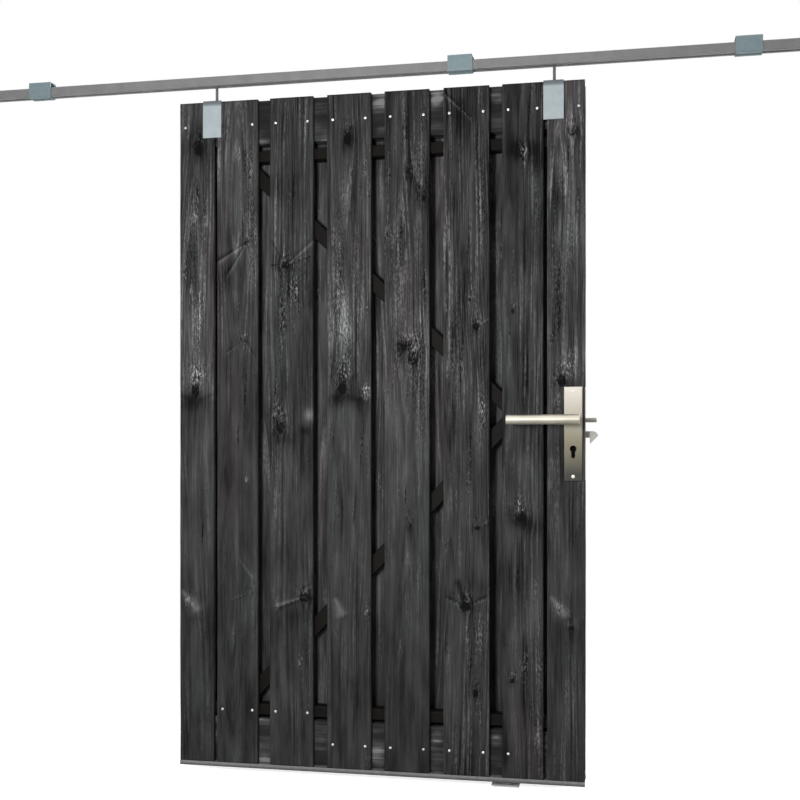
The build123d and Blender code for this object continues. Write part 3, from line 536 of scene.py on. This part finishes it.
# %% [markdown]
# Softwood with a black stain, sawn and then brushed by years of handling. The stain soaks
# deep into the soft early wood and sits thin on the hard late wood, so the ring lines show
# as paler threads where the surface is worn, and hardly at all where it isn't. The grey is
# summed from a level for each part of each board, broad clouds of stain, ring lines a few
# millimetres apart that the saw has broken into dashes, and the marks. Summing plain grey
# steps and turning them to light at the end keeps each part of the sum easy to judge.
# Early wood soaks up stain and dries matt, so the wood has hardly any gloss.

# %% Stained softwood
# patterns: size across the grain and along it in mm, and detail. Real rings and fibres are
# finer than a pixel here, so they are drawn as coarse as they need to show.
RINGS = (5.2, 420, 2.0)
PATTERNS = {
    "fibres": (2.7, 90, 1.0), "specks": (2.7, 8, 0.0), "dashes": (3.2, 14, 1.0),
    "scuffs": (24, 130, 2.0), "handling": (40, 430, 2.0), "rims": (7, 9, 1.0),
    "clouds": (44, 200, 3.0), "bands": (15, 900, 1.0), "hues": (70, 600, 2.0),
}
MARKS = ("dark", "pale", "eye", "torn", "edge", "tone", "wear")
BLACKEST = 0.045


def stained_softwood():
    """Black stained, sawn softwood: a sum of greys, with the ring lines on the board's own map
    and every other pattern on Object coordinates."""
    material, tree, place = new_material("black_stained_softwood")
    ring_map = add_node(tree, "ShaderNodeUVMap", {"uv_map": "grain"})
    across, along, detail = RINGS
    rings = pattern(tree, ring_map, (1000 / across, 1000 / along, 1), detail, dimensions="2D")
    noise = {
        name: pattern(tree, place, (1000 / across, 1000 / across, 1000 / along), detail)
        for name, (across, along, detail) in PATTERNS.items()
    }
    mark = {
        name: add_node(tree, "ShaderNodeAttribute", {"attribute_name": name}).outputs["Fac"]
        for name in MARKS
    }

    # how far the saw has torn the grain here, and how far the years have worn it
    scuffed = add_node(
        tree, "ShaderNodeMapRange", Value=noise["scuffs"], From_Min=0.60, From_Max=0.74, To_Max=0.8
    )
    torn = add_node(tree, "ShaderNodeMath", TIMES_PLUS, i0=scuffed, i1=mark["wear"], i2=mark["torn"])
    handled = add_node(
        tree, "ShaderNodeMapRange",
        Value=noise["handling"], From_Min=0.42, From_Max=0.60, To_Min=0.3, To_Max=1.3,
    )
    worn = add_node(tree, "ShaderNodeMath", TIMES_PLUS, i0=handled, i1=mark["wear"], i2=0.0)
    worn = add_node(tree, "ShaderNodeMath", TIMES_PLUS, i0=torn, i1=0.35, i2=worn)
    # how much shows of the ring lines, the furrows and the fibres, and a knot's ragged rim
    broken = add_node(
        tree, "ShaderNodeMapRange",
        Value=noise["dashes"], From_Min=0.42, From_Max=0.56, To_Min=0.25, To_Max=1.0,
    )
    dashed = add_node(tree, "ShaderNodeMath", TIMES_PLUS, i0=broken, i1=worn, i2=0.0)
    furrowed = add_node(tree, "ShaderNodeMath", TIMES_PLUS, i0=worn, i1=1.0, i2=0.04)
    threaded = add_node(tree, "ShaderNodeMath", TIMES_PLUS, i0=mark["wear"], i1=0.060, i2=0.006)
    ragged = add_node(tree, "ShaderNodeMath", TIMES_PLUS, i0=noise["rims"], i1=0.7, i2=mark["eye"])

    # each layer: a pattern or mark, two levels of it, the grey added at each, how much shows
    layers = [
        (noise["clouds"], 0.3, 0.7, -0.060, 0.060, 1.0),
        (noise["bands"], 0.3, 0.7, -0.024, 0.024, 1.0),
        # pale lines of late wood, and the furrows of early wood between them
        (rings, 0.52, 0.66, 0.0, 0.22, dashed),
        (rings, 0.47, 0.36, 0.0, -0.085, furrowed),
        (noise["fibres"], 0.3, 0.7, -1.0, 1.0, threaded),
        # torn grain: raised specks catch light, and the pits beside them stay black
        (noise["specks"], 0.58, 0.70, 0.0, 0.28, torn),
        (noise["specks"], 0.42, 0.31, 0.0, -0.19, torn),
        (mark["pale"], 0.0, 3.0, 0.0, 0.255, 1.0),
        (mark["dark"], 0.0, 1.3, 0.0, -0.13, 1.0),
        (ragged, 0.75, 0.93, 0.0, -0.14, 1.0),
        # painted shade: a little darker along the board's long edges
        (mark["edge"], 0.0, 1.0, 0.0, -0.03, 1.0),
    ]
    level = mark["tone"]
    for source, low, high, at_low, at_high, share in layers:
        layer = add_node(
            tree, "ShaderNodeMapRange",
            Value=source, From_Min=low, From_Max=high, To_Min=at_low, To_Max=at_high,
        )
        level = add_node(tree, "ShaderNodeMath", TIMES_PLUS, i0=layer, i1=share, i2=level)
    level = add_node(tree, "ShaderNodeMath", {"operation": "MAXIMUM"}, i0=level, i1=BLACKEST)
    steps = [(n / 8, "#" + f"{round(n / 8 * 255):02x}" * 3) for n in range(9)]
    grey = set_ramp(add_node(tree, "ShaderNodeValToRGB", Fac=level), *steps)
    # a slight change of hue along each board, as a stain dries
    hue = set_ramp(
        add_node(tree, "ShaderNodeValToRGB", Fac=noise["hues"]),
        (0.35, "#f7fbfa"), (0.5, "#ffffff"), (0.65, "#fff6f9"),
    )
    relief = add_node(tree, "ShaderNodeMath", TIMES_PLUS, i0=rings, i1=0.8, i2=noise["fibres"])
    relief = add_node(tree, "ShaderNodeMath", TIMES_PLUS, i0=torn, i1=noise["specks"], i2=relief)
    shader = add_node(
        tree, "ShaderNodeBsdfPrincipled",
        Base_Color=add_node(tree, "ShaderNodeMix", TINT, i0=1.0, i6=grey, i7=hue).outputs[2],
        Roughness=add_node(
            tree, "ShaderNodeMapRange",
            Value=level, From_Min=0.15, From_Max=0.5, To_Min=0.85, To_Max=0.6,
        ),
        IOR=1.45, Specular_IOR_Level=0.06,
        Normal=add_node(tree, "ShaderNodeBump", Height=relief, Strength=0.4, Distance=0.0008),
    )
    add_node(tree, "ShaderNodeOutputMaterial", Surface=shader)
    return material


softwood = stained_softwood()
for board in boards:
    board.data.materials.append(softwood)
print("material", softwood.name, "with", len(softwood.node_tree.nodes), "nodes")

# %% [markdown]
# The two battens lie across, so their grain runs along X. They are plain solids of the
# frame, and a pattern on Object coordinates is enough for the strips that show.

# %% Batten wood
# worn patches that show in the gaps: along the leaf, height, radius in mm, strength
BATTEN_PATCHES = [
    (555, 1775, 34, 0.35), (560, 1712, 20, 0.4), (712, 1785, 26, 0.35), (868, 1785, 26, 0.4),
    (556, 45, 40, 0.4), (712, 106, 24, 0.4), (868, 104, 24, 0.45), (716, 48, 24, 0.2),
]


def lying_softwood():
    """The same stained wood with its grain along X, on Object coordinates, with soft round
    patches where it is worn."""
    material, tree, place = new_material("black_stained_batten")
    grain = pattern(tree, place, (2.5, 70, 90), 4.0)
    cloud = pattern(tree, place, (9, 14, 14), 2.0, roughness=0.5)
    mixed = add_node(tree, "ShaderNodeMath", TIMES_PLUS, i0=cloud, i1=1.32, i2=grain)
    flat = add_node(tree, "ShaderNodeMapping", Vector=place, Scale=(1, 0, 1))
    for along, height, radius, strength in BATTEN_PATCHES:
        centre = (leaf_low[0] + along * MM, 0, leaf_low[2] + height * MM)
        reach = add_node(tree, "ShaderNodeVectorMath", {"operation": "DISTANCE"}, i0=flat, i1=centre)
        patch = add_node(
            tree, "ShaderNodeMapRange", {"interpolation_type": "SMOOTHSTEP"},
            Value=reach.outputs["Value"], From_Min=radius * MM, From_Max=0.3 * radius * MM,
            To_Min=0.0, To_Max=strength,
        )
        mixed = add_node(tree, "ShaderNodeMath", TIMES_PLUS, i0=patch, i1=0.6, i2=mixed)
    share = add_node(tree, "ShaderNodeMapRange", Value=mixed, From_Min=0.75, From_Max=1.55)
    grey = set_ramp(
        add_node(tree, "ShaderNodeValToRGB", Fac=share),
        (0.0, "#171718"), (0.45, "#2b2b2d"), (0.75, "#4b4b4c"), (1.0, "#8b8a89"),
    )
    shader = add_node(
        tree, "ShaderNodeBsdfPrincipled", Base_Color=grey, Roughness=0.7, Specular_IOR_Level=0.1,
        Normal=add_node(tree, "ShaderNodeBump", Height=grain, Strength=0.4, Distance=0.0008),
    )
    add_node(tree, "ShaderNodeOutputMaterial", Surface=shader)
    return material


batten_wood = lying_softwood()
print("material", batten_wood.name, "with", len(BATTEN_PATCHES), "worn patches")

# %% [markdown]
# Metals differ in how they were made. Zinc from a hot bath sets in pale grey clouds with a
# dull shine, stainless plate is ground in one direction, and cold drawn or cut steel is
# plain and a little darker. One function makes them all from a grey, a cloud size and a
# grinding direction, because these three are what the eye tells them apart by.

# %% Metals
# brush lines and a matt skin's grit are near 0.1 mm on the real thing, and are drawn about
# 1 mm wide so that they still show close by
EVEN_GRIND = (900, 900, 900)
SKIN_GRAIN = (1200, 1200, 1200)


def metal(
    name, dark, pale, roughness, cloud_mm=8.0, grind=EVEN_GRIND, metallic=1.0, specular=0.5, fade=None
):
    """A metal whose colour wanders between two greys in clouds of that size. Grind is the
    number of brush lines in each metre along X, Y and Z. Fade is painted light and shade: a list
    of heights above the leaf's foot in mm, each with a colour that the greys are multiplied by."""
    material, tree, place = new_material(name)
    cloud = pattern(tree, place, (1000 / cloud_mm,) * 3, 3.0, roughness=0.55)
    line = pattern(tree, place, grind, 2.0)
    blend = add_node(tree, "ShaderNodeMath", TIMES_PLUS, i0=line, i1=0.5, i2=cloud)
    share = add_node(tree, "ShaderNodeMapRange", Value=blend, From_Min=0.5, From_Max=1.0)
    colour = set_ramp(add_node(tree, "ShaderNodeValToRGB", Fac=share), (0.0, dark), (1.0, pale))
    # painted light and shade: the greys multiplied by a ramp of colours over the height
    if fade:
        foot, head = fade[0][0], fade[-1][0]
        upward = add_node(tree, "ShaderNodeSeparateXYZ", Vector=place).outputs["Z"]
        lift = add_node(
            tree, "ShaderNodeMapRange", Value=upward,
            From_Min=foot * MM + leaf_low[2], From_Max=head * MM + leaf_low[2],
        )
        stops = [((height - foot) / (head - foot), shade) for height, shade in fade]
        painted_shading = set_ramp(add_node(tree, "ShaderNodeValToRGB", Fac=lift), *stops)
        colour = add_node(tree, "ShaderNodeMix", TINT, i0=1.0, i6=colour, i7=painted_shading).outputs[2]
    shader = add_node(
        tree, "ShaderNodeBsdfPrincipled",
        Base_Color=colour, Metallic=metallic, Specular_IOR_Level=specular,
        Roughness=add_node(
            tree, "ShaderNodeMapRange", Value=blend, From_Min=0.5, From_Max=1.0,
            To_Min=roughness - 0.06, To_Max=roughness + 0.08,
        ),
        Normal=add_node(tree, "ShaderNodeBump", Height=line, Strength=0.15, Distance=0.0002),
    )
    add_node(tree, "ShaderNodeOutputMaterial", Surface=shader)
    return material


def plastic(name, dark, pale, roughness):
    """A moulded material with a fine grained skin: two near colours in small clouds."""
    material, tree, place = new_material(name)
    grain = pattern(tree, place, SKIN_GRAIN, 2.0, roughness=0.5)
    colour = set_ramp(add_node(tree, "ShaderNodeValToRGB", Fac=grain), (0.35, dark), (0.65, pale))
    shader = add_node(
        tree, "ShaderNodeBsdfPrincipled", Base_Color=colour, Roughness=roughness,
        Normal=add_node(tree, "ShaderNodeBump", Height=grain, Strength=0.2, Distance=0.0002),
    )
    add_node(tree, "ShaderNodeOutputMaterial", Surface=shader)
    return material


print("brush lines", 1000 / EVEN_GRIND[0], "mm, plastic's grain", 1000 / SKIN_GRAIN[0], "mm")

# %% [markdown]
# Each finish is named for what it is and given to the nodes that have it. The frame tubes
# behind the boards are powder coated in a brown black, and their colour is set darker than the
# coating as painted shade, for the shade behind the boards. Metals that stand outdoors dull
# under a thin oxide, which is why most are only partly metallic.

# %% Finishes of the frame's nodes
# painted light and shade by height above the leaf's foot: the handle plates carry a painted reflection,
# of a bright ceiling at the head and a dull floor at the foot, and the channel's foot and the saddles' upper
# bends carry painted shade
PLATE_PAINTED_REFLECTION = [
    (783, "#2b2a27"), (800, "#2f2e29"), (815, "#434238"), (840, "#5b584a"), (889, "#7e7a68"),
    (910, "#8d8a7d"), (966, "#b0aca3"), (1025, "#cfccc6"),
]
CHANNEL_PAINTED_SHADE = [(0, "#8c8c8c"), (5, "#d0d0d0"), (8, "#ffffff"), (12, "#ffffff")]
SADDLE_PAINTED_SHADE = [(1700, "#ffffff"), (1798, "#ffffff"), (1805, "#a4a8aa"), (1816, "#7c8082")]
finishes = {
    batten_wood: ["top_batten", "bottom_batten"],
    # polyester powder, baked on: matt, no metal shows
    # painted shade: the near black is darker than the coating itself, for the shade behind the boards
    metal("black_powder_coat_and_painted_shade", "#0d0c09", "#15130f", 0.6, metallic=0.0, specular=0.08): [
        "left_stile", "lock_stile", "top_tube", "bottom_tube", "upper_brace", "lower_brace", "lock_tube"],
    # extruded aluminium as it leaves the die, with fine lines along its length
    # painted shade: the channel is darker over the lowest 8 mm of the leaf
    metal("mill_finish_aluminium_painted_shade", "#787878", "#8c8c8c", 0.5,
          grind=(3, 900, 900), metallic=0.3, fade=CHANNEL_PAINTED_SHADE): ["bottom_channel", "rail_stops"],
    # strip steel zinced before rolling: lines along the rail, broad clouds
    metal("galvanised_rail_steel", "#7b7b7b", "#8d8d8d", 0.6,
          cloud_mm=30, grind=(4, 700, 700), metallic=0.3): ["rail"],
    # folded sheet, zinced in a bath and weathered to a bluish grey
    metal("galvanised_bracket_steel", "#788a8e", "#87989d", 0.55, cloud_mm=14, metallic=0.3): [
        "rail_bracket_1", "rail_bracket_2", "rail_bracket_3", "rail_bracket_4"],
    # painted shade: the saddles darken over their upper bends
    metal("galvanised_saddle_steel_painted_shade", "#a0aaae", "#aeb8bc", 0.5,
          cloud_mm=18, metallic=0.3, fade=SADDLE_PAINTED_SHADE): ["hanger_saddle_left", "hanger_saddle_right"],
    # thin electroplated zinc: brighter and smoother than the bath's
    metal("zinc_plated_fasteners", "#8e9294", "#b4b8ba", 0.45, metallic=0.5): [
        "hanger_nuts", "trolley_axles", "board_screws", "saddle_screws", "faceplate_screws"],
    # painted light: the guide plate's near white makes up for the shade under the leaf
    metal("zinc_plated_guide_painted_light", "#e4e7e9", "#f6f8f9", 0.5, metallic=0.1): ["floor_guide_plate"],
    metal("oiled_threaded_rod", "#585a5c", "#6c6e70", 0.5, metallic=0.3): ["hanger_bolts"],
    metal("zinc_plated_lock_steel", "#8e8e86", "#a4a49c", 0.5, metallic=0.3): [
        "hook", "lock_case", "lock_follower", "spindle", "lift_pin", "trolley_left", "trolley_right"],
    # stainless steel brushed along the bar and along the plate
    metal("brushed_stainless_bar", "#a19c8f", "#bab5a8", 0.46,
          cloud_mm=60, grind=(40, 900, 900), metallic=0.8): [
        "lever_front", "lever_rear", "plate_bolts", "lock_faceplate"],
    # painted reflection: the plates are brighter at the head and darker at the foot, by height
    metal("brushed_stainless_plate_painted_reflection", "#e6e3dd", "#f4f2ec", 0.5,
          cloud_mm=60, grind=(900, 900, 20), metallic=0.4, fade=PLATE_PAINTED_REFLECTION): ["plate_front", "plate_rear"],
    plastic("moulded_nylon", "#d8d5cc", "#e2dfd6", 0.45): [
        "wheels_left_rear", "wheels_left_lead", "wheels_right_rear", "wheels_right_lead",
        "guide_roller_1", "guide_roller_2"],
    plastic("buffer_rubber", "#141414", "#1c1c1c", 0.75): ["stop_buffers"],
}
for material, names in finishes.items():
    for name in names:
        mesh = nodes[name].data
        mesh.materials.clear()
        mesh.materials.append(material)
print(len(finishes), "finishes on", sum(len(names) for names in finishes.values()), "nodes")

# %% [markdown]
# A screw catches the eye by its pan head, which stands a little proud and stays bright
# where the stain has been wiped off. The others are stained over with the board. Each head
# is a low dome with a cross sunk in it, drawn as rings of points round the screw's axis.

# %% Screw heads
# in mm: a screw's distance from the board's edge, and the depth of the cross in its head
SCREW_INSET = 16
SUNK = 0.2
TUBE_BOARDS = 3
# rows of screws above the leaf's foot; the first boards are screwed to the bottom tube
ROWS = {"top": 1745, "tube": 157, "low": 75}
# boards with a bright left and a bright right head, row by row
BRIGHT = {
    "top": ([1, 3, 4, 5, 6, 7, 8], [2, 3, 4, 5, 6, 7, 8]),
    "tube": ([2, 3], [2, 3]),
    "low": ([4, 5, 6, 7], [4, 5, 6]),
}


def screw_head(across, height, front, out, radius, proud=0.9):
    """A dome on the plane y = front: rings of radius r rise by proud times 1 - (r / radius)
    squared. The points near a quarter turn are sunk, as a cross recess. A fan closes the hub,
    and another one ends in a root below the plane."""
    turns = np.linspace(0, 2 * np.pi, 24, endpoint=False)
    radii = np.array([radius, 0.86 * radius, 0.62 * radius, 0.36 * radius, 0.12 * radius])
    lift = proud * (1 - (radii / radius) ** 2)[:, None]
    cross = np.abs(np.sin(2 * (turns + 0.4)))[None, :] < 0.35
    sunk = cross & (radii < 0.7 * radius)[:, None]
    depth = np.where(sunk, -SUNK, lift)
    x = across + radii[:, None] * np.cos(turns)
    z = height + radii[:, None] * np.sin(turns)
    points = np.stack([x, front + out * depth, z], -1).reshape(-1, 3)
    ring = np.arange(points.shape[0]).reshape(len(radii), -1)
    closed = np.column_stack([ring, ring[:, 0]])
    quads = [wall(one, other) for one, other in zip(closed[:-1], closed[1:])]
    ends = [[across, front - out * SUNK, height], [across, front - out * 3 * SUNK, height]]
    hub, root = len(points), len(points) + 1
    after = np.roll(ring[-1], -1)
    caps = np.stack([ring[-1][::2], np.full(12, hub), after[1::2], after[::2]], -1)
    foot = np.roll(ring[0], -1)
    base = np.stack([ring[0][::2], foot[::2], foot[1::2], np.full(12, root)], -1)
    return np.concatenate([points, ends]), np.concatenate([*quads, caps, base])


def head_piece(name, places, radius):
    """One mesh of many heads of one radius. Places are across, height, the plane's Y and the
    side that it faces, in mm."""
    points, quads, total = [], [], 0
    for across, height, front, out in places:
        one_points, one_quads = screw_head(across, height, front, out, radius)
        points.append(one_points)
        quads.append((one_quads if out > 0 else one_quads[:, ::-1]) + total)
        total += len(one_points)
    mesh = quad_mesh(name, np.concatenate(points) * MM, np.concatenate(quads))
    piece = bpy.data.objects.new(name, mesh)
    bpy.context.collection.objects.link(piece)
    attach(piece, "door")
    return piece


leaf_foot = leaf_low[2] / MM
bright_places, stained_places = [], []
for number in range(1, len(FRONT_LEVELS) + 1):
    low, high = low_high(f"front_board_{number}")
    edges = low[0] / MM + SCREW_INSET, high[0] / MM - SCREW_INSET
    for row in ("top", "tube" if number <= TUBE_BOARDS else "low"):
        for side, across in enumerate(edges):
            where = (across, leaf_foot + ROWS[row], low[1] / MM, -1)
            (bright_places if number in BRIGHT[row][side] else stained_places).append(where)
for number in range(1, BACK_BOARDS + 1):
    low, high = low_high(f"back_board_{number}")
    for across in (low[0] / MM + SCREW_INSET, high[0] / MM - SCREW_INSET):
        for row in ("top", "low"):
            bright_places.append((across, leaf_foot + ROWS[row], high[1] / MM, 1))
plate_middle, bolt_heights = plate_bolts()
plate_face = low_high("plate_front")[0][1] / MM
bright_places += [(plate_middle, height, plate_face, -1) for height in bolt_heights]
bright_heads = head_piece("bright_screw_heads", bright_places, 3.4)
wiped_steel = metal("wiped_stainless_heads", "#d6d6d6", "#f2f2f2", 0.3, metallic=0.6)
bright_heads.data.materials.append(wiped_steel)
stained_heads = head_piece("stained_screw_heads", stained_places, 4.4)
stained_steel = metal("stained_over_heads", "#303032", "#3c3c3e", 0.7, metallic=0.0, specular=0.1)
stained_heads.data.materials.append(stained_steel)
print(len(bright_places), "bright heads,", len(stained_places), "stained ones")

# %% [markdown]
# The stage is a white studio: a floor under the guide, and in the next cell a white surround
# for the camera and for reflections. The floor turns to pure white away from the door,
# and only glows a little close to it, so that the door's soft shadow stays.

# %% Floor
FLOOR_HALF = 40.0
FLOOR_GLOW = 0.8
FADE_NEAR, FADE_FAR = 0.7, 1.6


def studio_floor():
    """A white floor: matt near the door, and of its own even white further off, by distance."""
    material, tree, place = new_material("white_studio_floor")
    middle = (-(leaf_low[0] + leaf_high[0]) / 2, 0, -floor_height)
    centred = add_node(tree, "ShaderNodeMapping", Vector=place, Location=middle)
    distance = add_node(tree, "ShaderNodeVectorMath", {"operation": "LENGTH"}, i0=centred)
    seen = add_node(tree, "ShaderNodeLightPath").outputs["Is Camera Ray"]
    fade = add_node(
        tree, "ShaderNodeMapRange", {"interpolation_type": "SMOOTHSTEP"},
        Value=distance.outputs["Value"], From_Min=FADE_NEAR, From_Max=FADE_FAR,
    )
    matt = add_node(
        tree, "ShaderNodeBsdfPrincipled",
        Base_Color=linear("#f4f4f4"), Roughness=0.9, Emission_Color=(1, 1, 1, 1),
        Emission_Strength=add_node(
            tree, "ShaderNodeMath", TIMES_PLUS, i0=seen, i1=FLOOR_GLOW, i2=0.0
        ),
    )
    mix = add_node(
        tree, "ShaderNodeMixShader",
        i0=add_node(tree, "ShaderNodeMath", TIMES_PLUS, i0=seen, i1=fade, i2=0.0),
        i1=matt, i2=add_node(tree, "ShaderNodeEmission", Color=(1, 1, 1, 1), Strength=1.0),
    )
    add_node(tree, "ShaderNodeOutputMaterial", Surface=mix)
    return material


corners = np.array([(-1, -1), (1, -1), (1, 1), (-1, 1)]) * FLOOR_HALF
floor_points = np.column_stack([corners, np.full(4, floor_height - 0.0005)])
floor_mesh = quad_mesh("studio_floor", floor_points, np.array([[0, 1, 2, 3]]))
floor = bpy.data.objects.new("studio_floor", floor_mesh)
floor.data.materials.append(studio_floor())
bpy.context.collection.objects.link(floor)
print("floor at", floor_height)

# %% [markdown]
# The world is white to the camera, brighter overhead than below to mirrors, and dim as a
# light. That gives the clean background of a cut out product photograph without flooding the
# door. The key lamp is small and near, left of the middle, because in the photograph the
# shadows in the gaps widen away from there. The fill lamps stand behind the boards' front
# plane, so they show the back and the edges and leave the front as it is.

# %% World and lamps
SKY_LIGHT = 0.08
world = bpy.data.worlds.new("white_studio")
world.use_nodes = True
bpy.context.scene.world = world
sky = world.node_tree
sky.nodes.clear()
ray = add_node(sky, "ShaderNodeLightPath")
direct = add_node(
    sky, "ShaderNodeMath", {"operation": "MAXIMUM"},
    i0=ray.outputs["Is Camera Ray"], i1=ray.outputs["Is Transmission Ray"],
)
# what metal mirrors: bright overhead, dull toward the ground
heading = add_node(sky, "ShaderNodeTexCoord").outputs["Generated"]
upward = add_node(sky, "ShaderNodeSeparateXYZ", Vector=heading).outputs["Z"]
mirrored = add_node(
    sky, "ShaderNodeMapRange", Value=upward, From_Min=-0.3, From_Max=0.7, To_Min=0.1, To_Max=2.2
)
glossy = ray.outputs["Is Glossy Ray"]
dim = add_node(sky, "ShaderNodeMath", TIMES_PLUS, i0=glossy, i1=mirrored, i2=SKY_LIGHT)
strength = add_node(sky, "ShaderNodeMath", {"operation": "MAXIMUM"}, i0=direct, i1=dim)
background = add_node(sky, "ShaderNodeBackground", Color=(1, 1, 1, 1), Strength=strength)
add_node(sky, "ShaderNodeOutputWorld", Surface=background)


def area_lamp(name, place, target, width, height, watts):
    """A soft rectangular lamp that faces a point: its axis is the line from place to target."""
    light = bpy.data.lights.new(name, "AREA")
    light.shape = "RECTANGLE"
    light.size, light.size_y, light.energy = width, height, watts
    lamp = bpy.data.objects.new(name, light)
    lamp.location = place
    lamp.visible_camera = False
    lamp.rotation_euler = (Vector(target) - Vector(place)).to_track_quat("-Z", "Y").to_euler()
    bpy.context.collection.objects.link(lamp)
    return lamp


middle = (leaf_low + leaf_high) / 2
key_target = leaf_low + (0.38, 0, 1.08)
area_lamp("key_front", key_target + (0, -1.85, 0), key_target, 0.3, 0.5, watts=32)
area_lamp("back_soft", middle + (1.0, 5.0, 2.6), middle, 2.0, 2.0, watts=170)
for name, away in (("left_soft", -3.6), ("right_soft", 3.6)):
    area_lamp(name, middle + (away, 0.9, 0.3), middle + (0.15 * away, 0.02, 0), 1.2, 1.8, watts=65)
bpy.context.scene.view_settings.view_transform = "Standard"
print("lamps and a world of strength", SKY_LIGHT)
